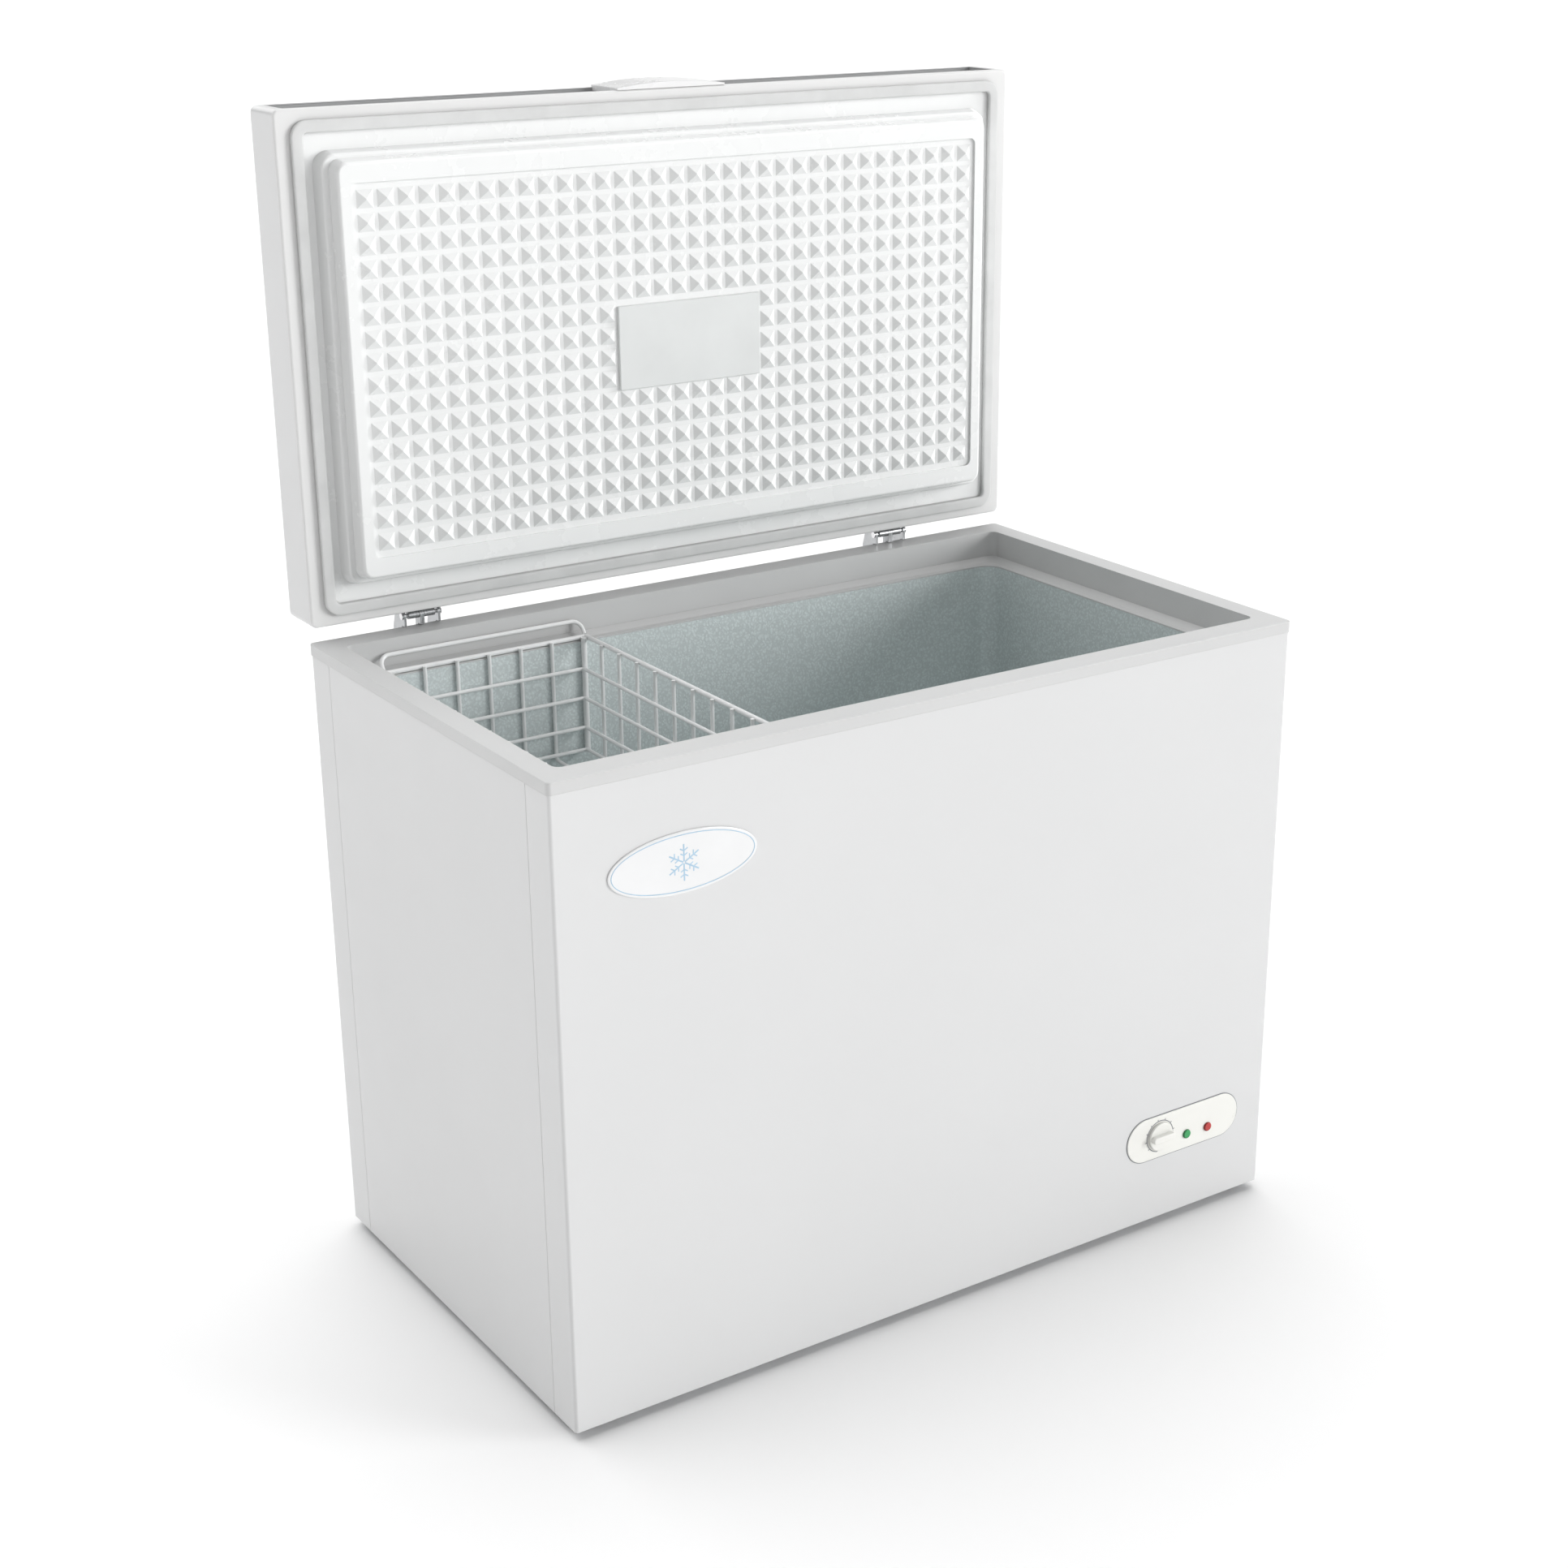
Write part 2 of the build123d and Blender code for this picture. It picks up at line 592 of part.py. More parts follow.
with BuildPart() as compressor_bolts_part:
    for x, y in compressor_bolts:
        bolt((x, y, plate_top), (0, 0, -1), 6, 5, 3, plate_top - FOOT_HEIGHT - 0.6, 6)
compressor_bolts_part.part.label = "compressor_bolts"
export_step(compressor_bolts_part.part, "parts/compressor_bolts.step")

with BuildPart() as compressor:
    centre = (COMPRESSOR_X, COMPRESSOR_Y)
    slab(
        2 * COMPRESSOR_BOLT_X + 26, 2 * COMPRESSOR_BOLT_Y + 26, 13, plate_low, plate_top, at=centre,
    )
    for point in compressor_bolts:
        disc(3.2, 0, 60, Mode.SUBTRACT, point)
    half_x = COMPRESSOR_BREADTH / 2
    half_y = COMPRESSOR_LENGTH / 2
    extrude(oval(half_x, half_y, plate_top + 12, centre), amount=148)
    loft(
        [
            oval(half_x - 22, half_y - 22, plate_top, centre),
            oval(half_x, half_y, plate_top + 12, centre),
        ]
    )
    loft(
        [
            oval(half_x, half_y, plate_top + 160, centre),
            oval(half_x - 22, half_y - 26, plate_top + 184, centre),
        ]
    )
    extrude(oval(half_x + 3, half_y + 3, plate_top + 88, centre), amount=4)
compressor.part.label = "compressor"
export_step(compressor.part, "parts/compressor.step")
crown_z = plate_top + 184

relay_y = COMPRESSOR_Y - COMPRESSOR_LENGTH / 2 - 4.0
with BuildPart() as start_relay_cover:
    block((COMPRESSOR_X - 30, COMPRESSOR_X + 30), (relay_y - 24, relay_y), (62, 122))
    fillet(start_relay_cover.edges().filter_by(Axis.Y), 6)
start_relay_cover.part.label = "start_relay_cover"
export_step(start_relay_cover.part, "parts/start_relay_cover.step")

# Refrigerant lines and the filter drier
with BuildPart() as suction_line:
    pipe(
        (
            (EVAPORATOR_OUT_X, evaporator_y, TUBE_END_Z - 0.3),
            (EVAPORATOR_OUT_X, evaporator_y, 241),
            (EVAPORATOR_OUT_X, 190, 241),
            (EVAPORATOR_OUT_X, 190, crown_z + 0.3),
        ),
        3.4, 9,
    )
suction_line.part.label = "suction_line"
export_step(suction_line.part, "parts/suction_line.step")

with BuildPart() as discharge_line:
    pipe(
        (
            (366, 150, crown_z + 0.3),
            (366, 150, 254),
            (CONDENSER_IN_X, 150, 254),
            (CONDENSER_IN_X, condenser_y - 12, 254),
            (CONDENSER_IN_X, condenser_y, TUBE_END_Z - 5),
            (CONDENSER_IN_X, condenser_y, TUBE_END_Z - 0.3),
        ),
        2.0, 3,
    )
discharge_line.part.label = "discharge_line"
export_step(discharge_line.part, "parts/discharge_line.step")

with BuildPart() as filter_drier:
    disc(8, 115, 195, at=(CONDENSER_OUT_X, 282))
    fillet(filter_drier.edges().filter_by(GeomType.CIRCLE), 5)
    pipe(
        (
            (CONDENSER_OUT_X, 282, 193),
            (CONDENSER_OUT_X, 282, 212),
            (CONDENSER_OUT_X, condenser_y, 228),
            (CONDENSER_OUT_X, condenser_y, TUBE_END_Z - 0.3),
        ),
        2.0, 4,
    )
filter_drier.part.label = "filter_drier"
export_step(filter_drier.part, "parts/filter_drier.step")

with BuildPart() as capillary_tube:
    pipe(
        (
            (CONDENSER_OUT_X, 282, 114.7),
            (CONDENSER_OUT_X, 282, 90),
            (EVAPORATOR_IN_X, 264, 90),
            (EVAPORATOR_IN_X, 264, 240),
            (EVAPORATOR_IN_X, evaporator_y, 255),
            (EVAPORATOR_IN_X, evaporator_y, TUBE_END_Z - 0.3),
        ),
        1.2, 3,
    )
capillary_tube.part.label = "capillary_tube"
export_step(capillary_tube.part, "parts/capillary_tube.step")

# Service cover on the back, with louvres and the power inlet gland
with BuildPart() as rear_access_cover:
    block(COVER_X, (half_d, half_d + 1.2), COVER_Z)
    for row in range(8):
        slot_z = 100 + row * 18
        block((320, 395), (half_d - 1, half_d + 3), (slot_z - 3, slot_z + 3), Mode.SUBTRACT)
        block((405, 480), (half_d - 1, half_d + 3), (slot_z - 3, slot_z + 3), Mode.SUBTRACT)
    for x, z in cover_screws:
        bore((x, half_d + 3, z), (0, -1, 0), SCREW_HOLE_R, 6)
    bore((GLAND_X, half_d + 3, GLAND_Z), (0, -1, 0), 6.1, 6)
rear_access_cover.part.label = "rear_access_cover"
export_step(rear_access_cover.part, "parts/rear_access_cover.step")

with BuildPart() as rear_cover_screws:
    for x, z in cover_screws:
        bolt((x, half_d + 1.2, z), (0, -1, 0), 4, 2, 2, 2.3)
rear_cover_screws.part.label = "rear_cover_screws"
export_step(rear_cover_screws.part, "parts/rear_cover_screws.step")

with BuildPart() as power_inlet_gland:
    disc(6, -6, 1.2, at=(-GLAND_X, GLAND_Z), base=BACK)
    disc(10, 1.2, 5, at=(-GLAND_X, GLAND_Z), base=BACK)
    disc(7.5, 5, 14, at=(-GLAND_X, GLAND_Z), base=BACK)
    disc(3.4, -8, 16, Mode.SUBTRACT, (-GLAND_X, GLAND_Z), BACK)
power_inlet_gland.part.label = "power_inlet_gland"
export_step(power_inlet_gland.part, "parts/power_inlet_gland.step")

with BuildPart() as terminal_box:
    block((440, 490), (-70, -10), (BASE_TOP, 55))
    fillet(terminal_box.edges().filter_by(Axis.Z), 4)
terminal_box.part.label = "terminal_box"
export_step(terminal_box.part, "parts/terminal_box.step")

# Thermostat with its sensing tube, and the control panel in the front sheet
with BuildPart() as thermostat:
    block((KNOB_X - 18, KNOB_X + 18), (-286, -250), (KNOB_Z - 25, KNOB_Z + 22))
    disc(6, 10.5, 12, at=(KNOB_X, KNOB_Z), base=FRONT.offset(-22.5))
    disc(3.05, -22.5, 0, Mode.SUBTRACT, (KNOB_X, KNOB_Z), FRONT)
thermostat.part.label = "thermostat"
export_step(thermostat.part, "parts/thermostat.step")

with BuildPart() as thermostat_sensor_tube:
    pipe(((KNOB_X, -268, KNOB_Z + 22), (KNOB_X, -268, 420)), 1.5, 0)
thermostat_sensor_tube.part.label = "thermostat_sensor_tube"
export_step(thermostat_sensor_tube.part, "parts/thermostat_sensor_tube.step")

with BuildPart() as control_panel_bezel:
    slab(PANEL_WIDTH, PANEL_HEIGHT, PANEL_HEIGHT / 2 - 0.2, 0, 1.6, at=(PANEL_X, PANEL_Z), base=FRONT)
    bezel_face = control_panel_bezel.faces().sort_by(Axis.Y)[0]
    fillet(bezel_face.edges(), 1.2)
    slab(
        PANEL_WIDTH - 6.6, PANEL_HEIGHT - 6.6, PANEL_HEIGHT / 2 - 3.6, -8, 0,
        at=(PANEL_X, PANEL_Z), base=FRONT,
    )
    slab(
        PANEL_WIDTH - 10.6, PANEL_HEIGHT - 10.6, PANEL_HEIGHT / 2 - 5.6, -9, -0.6,
        Mode.SUBTRACT, (PANEL_X, PANEL_Z), FRONT,
    )
    disc(3.8, -9, 3, Mode.SUBTRACT, (KNOB_X, KNOB_Z), FRONT)
    for x in LAMP_X:
        disc(5.1, -9, 3, Mode.SUBTRACT, (x, LAMP_Z), FRONT)
control_panel_bezel.part.label = "control_panel_bezel"
export_step(control_panel_bezel.part, "parts/control_panel_bezel.step")

# Printed scale round the knob: an arc, a heavier inner arc and short marks
with BuildPart() as dial_scale:
    with BuildSketch(FRONT.offset(1.6)):
        with Locations((KNOB_X, KNOB_Z)):
            Circle(KNOB_R + 3.2)
            Circle(KNOB_R + 2.2, mode=Mode.SUBTRACT)
        with Locations((KNOB_X + 14, KNOB_Z - 26)):
            Rectangle(40, 26, rotation=32, mode=Mode.SUBTRACT)
        with Locations((KNOB_X, KNOB_Z)):
            with PolarLocations(KNOB_R + 4.1, 9, start_angle=-20, angular_range=240, endpoint=True):
                Rectangle(2.6, 0.8)
    extrude(amount=0.25)
dial_scale.part.label = "dial_scale"
export_step(dial_scale.part, "parts/dial_scale.step")

with BuildPart() as thermostat_knob:
    disc(KNOB_R, 2.1, 5.6, at=(KNOB_X, KNOB_Z), base=FRONT)
    knob_face = thermostat_knob.faces().sort_by(Axis.Y)[0]
    fillet(knob_face.edges(), 1)
    slab(
        2 * KNOB_R - 3, 9, 3.5, 5, KNOB_REACH,
        at=(KNOB_X, KNOB_Z), base=FRONT,
    )
    ridge_face = thermostat_knob.faces().sort_by(Axis.Y)[0]
    fillet(ridge_face.edges(), 1.5)
    disc(3, -21.5, 2.1, at=(KNOB_X, KNOB_Z), base=FRONT)
thermostat_knob.part.label = "thermostat_knob"
export_step(thermostat_knob.part, "parts/thermostat_knob.step")


def lens(x):
    """Round indicator lens with its stem."""
    disc(5, -7, 1.6, at=(x, LAMP_Z), base=FRONT)
    disc(LAMP_R, 1.6, 4, at=(x, LAMP_Z), base=FRONT)


with BuildPart() as indicator_lens_green:
    lens(LAMP_X[0])
    fillet(indicator_lens_green.faces().sort_by(Axis.Y)[0].edges(), 1.8)
indicator_lens_green.part.label = "indicator_lens_green"
export_step(indicator_lens_green.part, "parts/indicator_lens_green.step")

with BuildPart() as indicator_lens_red:
    lens(LAMP_X[1])
    fillet(indicator_lens_red.faces().sort_by(Axis.Y)[0].edges(), 1.8)
indicator_lens_red.part.label = "indicator_lens_red"
export_step(indicator_lens_red.part, "parts/indicator_lens_red.step")

with BuildPart() as indicator_lamps:
    for x in LAMP_X:
        disc(3.2, -19, -7.4, at=(x, LAMP_Z), base=FRONT)
        disc(5, -21, -19, at=(x, LAMP_Z), base=FRONT)
indicator_lamps.part.label = "indicator_lamps"
export_step(indicator_lamps.part, "parts/indicator_lamps.step")

with BuildPart() as wiring_harness:
    pipe(
        (
            (KNOB_X, -249.7, 112),
            (KNOB_X, -220, 112),
            (KNOB_X, -220, 30),
            (420, -220, 30),
            (420, -40, 30),
            (439.7, -40, 30),
        ),
        2.2, 8,
    )
    pipe(
        (
            (465, -9.7, 40),
            (465, 10, 40),
            (COMPRESSOR_X, 10, 40),
            (COMPRESSOR_X, 10, 90),
            (COMPRESSOR_X, relay_y - 24.3, 90),
        ),
        2.2, 6,
    )
    pipe(
        (
            (GLAND_X, 291.7, GLAND_Z),
            (GLAND_X, 274, GLAND_Z),
            (500, 274, GLAND_Z),
            (500, -40, GLAND_Z),
            (490.3, -40, GLAND_Z),
        ),
        3.2, 5,
    )
    pipe(
        (
            (LAMP_X[0], -276.7, LAMP_Z),
            (LAMP_X[0], -262, LAMP_Z),
            (KNOB_X + 18.3, -262, LAMP_Z),
        ),
        1.6, 5,
    )
    pipe(
        (
            (LAMP_X[1], -276.7, LAMP_Z),
            (LAMP_X[1], -255, LAMP_Z),
            (LAMP_X[1], -255, LAMP_Z + 18),
            (KNOB_X + 18.3, -255, LAMP_Z + 18),
        ),
        1.6, 5,
    )
wiring_harness.part.label = "wiring_harness"
export_step(wiring_harness.part, "parts/wiring_harness.step")

# Oval badge, with a plain raised field and a wave across it
with BuildPart() as badge_plate:
    with BuildSketch(FRONT):
        with Locations((BADGE_X, BADGE_Z)):
            Ellipse(BADGE_WIDTH / 2, BADGE_HEIGHT / 2)
    extrude(amount=2.4)
    fillet(badge_plate.faces().sort_by(Axis.Y)[0].edges(), 1.5)
    with BuildSketch(FRONT.offset(1.9)):
        with Locations((BADGE_X, BADGE_Z)):
            Ellipse(BADGE_WIDTH / 2 - 6, BADGE_HEIGHT / 2 - 6)
    extrude(amount=1, mode=Mode.SUBTRACT)
badge_plate.part.label = "badge_plate"
export_step(badge_plate.part, "parts/badge_plate.step")

# Drain: tube through the floor, cap underneath and a lift-out plug inside
with BuildPart() as drain_tube:
    disc(DRAIN_OUTER_R, FOOT_HEIGHT, LINER_FLOOR - 0.2, at=(DRAIN_X, DRAIN_Y))
    disc(DRAIN_INNER_R, 0, 90, Mode.SUBTRACT, (DRAIN_X, DRAIN_Y))
drain_tube.part.label = "drain_tube"
export_step(drain_tube.part, "parts/drain_tube.step")

with BuildPart() as drain_cap:
    disc(14, 6.5, FOOT_HEIGHT, at=(DRAIN_X, DRAIN_Y))
    chamfer(drain_cap.faces().sort_by(Axis.Z)[0].edges(), 1.5)
    disc(DRAIN_INNER_R - 0.1, FOOT_HEIGHT, 22, at=(DRAIN_X, DRAIN_Y))
drain_cap.part.label = "drain_cap"
export_step(drain_cap.part, "parts/drain_cap.step")

with BuildPart() as drain_plug:
    disc(14, LINER_FLOOR + 0.4, LINER_FLOOR + 5, at=(DRAIN_X, DRAIN_Y))
    fillet(drain_plug.faces().sort_by(Axis.Z)[-1].edges(), 2)
    disc(DRAIN_INNER_R - 0.6, 52, LINER_FLOOR + 0.4, at=(DRAIN_X, DRAIN_Y))
    block(
        (DRAIN_X - 9, DRAIN_X + 9), (DRAIN_Y - 1.5, DRAIN_Y + 1.5),
        (LINER_FLOOR + 5, LINER_FLOOR + 12),
    )
drain_plug.part.label = "drain_plug"
export_step(drain_plug.part, "parts/drain_plug.step")


def cheek_outline(tongue):
    """Side profile of a hinge cheek, or of the slimmer tongue between the knuckles."""
    front = HINGE_Y - KNUCKLE_R
    top = HINGE_Z + KNUCKLE_R
    rim_back = half_d + 1.8
    shelf = RIM_TOP + 1.2
    if tongue:
        return (
            (front, HINGE_Z), (front, shelf), (rim_back, shelf), (rim_back, 777), (307, 777),
            (307, 796), (301.7, HINGE_Z),
        )
    return (
        (front, HINGE_Z), (front, shelf), (rim_back, shelf), (rim_back, 771.5), (half_d, 771.5),
        (half_d, 690), (318, 690), (325, 706), (325, 782), (317, top), (HINGE_Y, top),
    )


def upright(profile, low, high):
    """Plate standing across the cabinet between two x positions, round-ended at the pin."""
    with BuildSketch(SIDE.offset(low)) as outline:
        with BuildLine():
            Polyline(*profile, close=True)
        make_face()
        with Locations((HINGE_Y, HINGE_Z)):
            Circle(KNUCKLE_R)
    extrude(outline.sketch, amount=high - low)


# Cabinet half of each hinge: a channel on the back sheet that holds the pin
with BuildPart() as hinge_cabinet_brackets:
    for x in HINGE_X:
        upright(cheek_outline(False), x - CHEEK_OUTER, x - CHEEK_INNER)
        upright(cheek_outline(False), x + CHEEK_INNER, x + CHEEK_OUTER)
        upright(cheek_outline(True), x - 2.8, x + 2.8)
        block((x - CHEEK_INNER, x + CHEEK_INNER), (half_d + 1.8, half_d + 4.3), (690, 786))
        block((x - CHEEK_INNER, x + CHEEK_INNER), (half_d, half_d + 1.8), (690, 771.5))
        block((x - 40, x + 40), (half_d, half_d + 4.3), (696, 764))
        block((x - CHEEK_INNER, x + CHEEK_INNER), (half_d + 4.3, 324), (690, 692.5))
        bore((x - 30, HINGE_Y, HINGE_Z), (1, 0, 0), PIN_R + PIN_CLEARANCE, 60)
    for x, z in bracket_screws:
        bore((x, half_d + 6, z), (0, -1, 0), SCREW_HOLE_R, 8)
hinge_cabinet_brackets.part.label = "hinge_cabinet_brackets"
export_step(hinge_cabinet_brackets.part, "parts/hinge_cabinet_brackets.step")

with BuildPart() as hinge_bracket_screws:
    for x, z in bracket_screws:
        bolt((x, half_d + 4.3, z), (0, -1, 0), 4.2, 2.4, 2, 22)
hinge_bracket_screws.part.label = "hinge_bracket_screws"
export_step(hinge_bracket_screws.part, "parts/hinge_bracket_screws.step")

with BuildPart() as hinge_pins:
    for x in HINGE_X:
        pipe(((x - 24.4, HINGE_Y, HINGE_Z), (x + 24.4, HINGE_Y, HINGE_Z)), PIN_R, 0)
        pipe(((x - 26.2, HINGE_Y, HINGE_Z), (x - 24.4, HINGE_Y, HINGE_Z)), 4.2, 0)
        pipe(((x + 24.4, HINGE_Y, HINGE_Z), (x + 26.2, HINGE_Y, HINGE_Z)), 4.2, 0)
hinge_pins.part.label = "hinge_pins"
export_step(hinge_pins.part, "parts/hinge_pins.step")

# Counterbalance springs on their guide rods, inside the hinge channels
with BuildPart() as hinge_guide_rods:
    for x in HINGE_X:
        disc(3.6, 692.6, 776, at=(x, 313.2))
        disc(10, 772.5, 776, at=(x, 313.2))
hinge_guide_rods.part.label = "hinge_guide_rods"
export_step(hinge_guide_rods.part, "parts/hinge_guide_rods.step")

with BuildPart() as hinge_springs:
    for x in HINGE_X:
        coil((x, 313.2), 694.7, 75.4, 7.6, 7.5, 2.0)
hinge_springs.part.label = "hinge_springs"
export_step(hinge_springs.part, "parts/hinge_springs.step")

# Lid half of each hinge: a leaf on the rear edge with two rolled knuckles
with BuildPart() as hinge_lid_leaves:
    for x in HINGE_X:
        slab(2 * LEAF_HALF, 1.5, 0, 0, 52, at=(x, LID_REAR + 0.75), base=LID)
        pipe(((x - LEAF_HALF, HINGE_Y, HINGE_Z), (x + LEAF_HALF, HINGE_Y, HINGE_Z)), KNUCKLE_R, 0)
        slab(6.6, 14, 0, -7, 6.6, Mode.SUBTRACT, (x, 0), LID)
        bore((x - 30, HINGE_Y, HINGE_Z), (1, 0, 0), PIN_R + PIN_CLEARANCE, 60)
    for x, z in leaf_screws:
        bore((x, HINGE_Y + z, HINGE_Z + 2), (0, 0, 1), SCREW_HOLE_R, 5)
hinge_lid_leaves.part.label = "hinge_lid_leaves"
export_step(hinge_lid_leaves.part, "parts/hinge_lid_leaves.step")

with BuildPart() as hinge_lid_screws:
    for x, z in leaf_screws:
        bolt((x, HINGE_Y + z, HINGE_Z - LID_REAR - 1.5), (0, 0, 1), 4.2, 2, 2, 18)
hinge_lid_screws.part.label = "hinge_lid_screws"
export_step(hinge_lid_screws.part, "parts/hinge_lid_screws.step")


def front_channel(margin, deep, mode):
    """Space of the long groove in the lid's front face."""
    slab(
        2 * (GROOVE_HALF + margin), 20, 0, GROOVE_LOW - margin, GROOVE_HIGH + margin, mode,
        (0, LID_FRONT + deep - 10), LID,
    )


def lid_block(inset, low):
    """The lid's outline with every wall moved inward."""
    slab(
        LID_WIDTH - 2 * inset, LID_DEPTH - 2 * inset, LID_CORNER - inset, low, LID_TOP - inset,
        at=LID_CENTRE, base=LID,
    )


# Lid skin: top and four sides in one pressed sheet
with BuildPart() as lid_cavity:
    lid_block(SKIN, FRAME_TOP - 1)
    fillet(lid_cavity.faces().sort_by(Axis.Y)[-1].edges(), LID_EDGE - SKIN)

with BuildPart() as lid_outer_shell:
    lid_block(0, FRAME_TOP)
    fillet(lid_outer_shell.faces().sort_by(Axis.Y)[-1].edges(), LID_EDGE)
    add(lid_cavity.part, mode=Mode.SUBTRACT)
    front_channel(0, SKIN + 0.1, Mode.SUBTRACT)
    for x, z in leaf_screws:
        bore((x, HINGE_Y + z, HINGE_Z + 2), (0, 0, 1), SCREW_HOLE_R, 6)
lid_outer_shell.part.label = "lid_outer_shell"
export_step(lid_outer_shell.part, "parts/lid_outer_shell.step")

# Underside border with the seat for the gasket
frame_opening = (GASKET_WIDTH - 2 * GASKET_BAND, GASKET_DEPTH - 2 * GASKET_BAND)
with BuildPart() as lid_inner_frame:
    slab(LID_WIDTH, LID_DEPTH, LID_CORNER, LID_UNDER, FRAME_TOP, at=LID_CENTRE, base=LID)
    fillet(lid_inner_frame.faces().sort_by(Axis.Y)[0].edges(), 3)
    slab(LID_WIDTH - 2.8, LID_DEPTH - 2.8, LID_CORNER - 1.4, FRAME_TOP, 6, at=LID_CENTRE, base=LID)
    slab(
        LID_WIDTH - 7, LID_DEPTH - 7, LID_CORNER - 3.5, FRAME_TOP, 7, Mode.SUBTRACT, LID_CENTRE, LID,
    )
    slab(
        frame_opening[0], frame_opening[1], 10, LID_UNDER - 1, 7, Mode.SUBTRACT, LID_CENTRE, LID,
    )
    with BuildSketch(LID.offset(LID_UNDER)):
        with Locations(LID_CENTRE):
            RectangleRounded(GASKET_WIDTH - 6, GASKET_DEPTH - 6, 16)
            RectangleRounded(GASKET_WIDTH - 22, GASKET_DEPTH - 22, 12, mode=Mode.SUBTRACT)
    extrude(amount=1.6, mode=Mode.SUBTRACT)
    front_channel(1.4, GROOVE_DEPTH + 1.8, Mode.SUBTRACT)
lid_inner_frame.part.label = "lid_inner_frame"
export_step(lid_inner_frame.part, "parts/lid_inner_frame.step")

# Gasket: soft band that closes on the rim, held by a bead in the frame's seat
with BuildPart() as lid_gasket:
    slab(
        GASKET_WIDTH, GASKET_DEPTH, 20, LID_UNDER - GASKET_HEIGHT, LID_UNDER, at=LID_CENTRE, base=LID,
    )
    slab(
        frame_opening[0], frame_opening[1], 10, LID_UNDER - 20, LID_UNDER, Mode.SUBTRACT,
        LID_CENTRE, LID,
    )
    fillet(lid_gasket.faces().sort_by(Axis.Y)[0].edges(), 2.4)
    with BuildSketch(LID.offset(LID_UNDER)):
        with Locations(LID_CENTRE):
            RectangleRounded(GASKET_WIDTH - 6.4, GASKET_DEPTH - 6.4, 15.8)
            RectangleRounded(GASKET_WIDTH - 21.6, GASKET_DEPTH - 21.6, 12.2, mode=Mode.SUBTRACT)
    extrude(amount=1.4)
lid_gasket.part.label = "lid_gasket"
export_step(lid_gasket.part, "parts/lid_gasket.step")



def plug_shoulder(wall, flange, mode=Mode.ADD):
    """Lower step of the lid's plug, drawn inside its outer surface by a wall."""
    inset = 2 * wall
    frustum(
        (934 - inset, 499 - inset, 16 - wall / 2, PLUG_SHOULDER + wall),
        (946 - inset, 506 - inset, 20 - wall / 2, flange), mode, LID_CENTRE, LID,
    )


def plug_step(wall, face, mode=Mode.ADD):
    """Upper step of the lid's plug, drawn inside its outer surface by a wall."""
    inset = 2 * wall
    frustum(
        (912 - inset, 482 - inset, 12 - wall / 2, face),
        (920 - inset, 489 - inset, 14 - wall / 2, PLUG_SHOULDER + wall + 1), mode, LID_CENTRE, LID,
    )


# Inner liner of the lid: a stepped plug with a sunk field of pyramids
field_middle = (PYRAMID_COLUMNS - 1) / 2
row_middle = (PYRAMID_ROWS - 1) / 2
pyramid_spots = []
for column in range(PYRAMID_COLUMNS):
    for row in range(PYRAMID_ROWS):
        spot_x = (column - field_middle) * PYRAMID_PITCH[0]
        spot_y = LID_CENTRE[1] + (row - row_middle) * PYRAMID_PITCH[1]
        beside = abs(spot_x) > (LABEL_WIDTH + PYRAMID_BASE) / 2
        above = abs(spot_y - LABEL_Y) > (LABEL_HEIGHT + PYRAMID_BASE) / 2
        if beside or above:
            pyramid_spots.append((spot_x, spot_y))

with BuildPart() as lid_liner:
    slab(
        frame_opening[0] - 0.4, frame_opening[1] - 0.4, 9.8, LID_UNDER, LID_UNDER + 2,
        at=LID_CENTRE, base=LID,
    )
    plug_shoulder(0, LID_UNDER + 0.5)
    fillet(lid_liner.faces().sort_by(Axis.Y)[0].edges(), 3)
    plug_step(0, PLUG_FACE)
    fillet(lid_liner.faces().sort_by(Axis.Y)[0].edges(), 3.5)
    slab(882, 436, 8, PLUG_FACE - 1, FIELD_BASE, Mode.SUBTRACT, LID_CENTRE, LID)
    plug_shoulder(PLUG_WALL, LID_UNDER + 2.1, Mode.SUBTRACT)
    plug_step(PLUG_WALL, FIELD_BASE + 2, Mode.SUBTRACT)
    with Locations(LID.offset(FIELD_BASE + 0.2)):
        with Locations(*pyramid_spots):
            Wedge(
                PYRAMID_BASE, PYRAMID_HEIGHT + 0.2, PYRAMID_BASE,
                (PYRAMID_BASE - PYRAMID_TIP) / 2, (PYRAMID_BASE - PYRAMID_TIP) / 2,
                (PYRAMID_BASE + PYRAMID_TIP) / 2, (PYRAMID_BASE + PYRAMID_TIP) / 2,
                rotation=(-90, 0, 0), align=(Align.CENTER, Align.MIN, Align.CENTER),
            )
lid_liner.part.label = "lid_liner"
export_step(lid_liner.part, "parts/lid_liner.step")

# Blank information plate in the middle of the pyramid field
with BuildPart() as lid_label_plate:
    slab(
        LABEL_WIDTH, LABEL_HEIGHT, 1.5, FIELD_BASE - 3.5, FIELD_BASE, at=(0, LABEL_Y), base=LID,
    )
    chamfer(lid_label_plate.faces().sort_by(Axis.Y)[0].edges(), 0.8)
lid_label_plate.part.label = "lid_label_plate"
export_step(lid_label_plate.part, "parts/lid_label_plate.step")

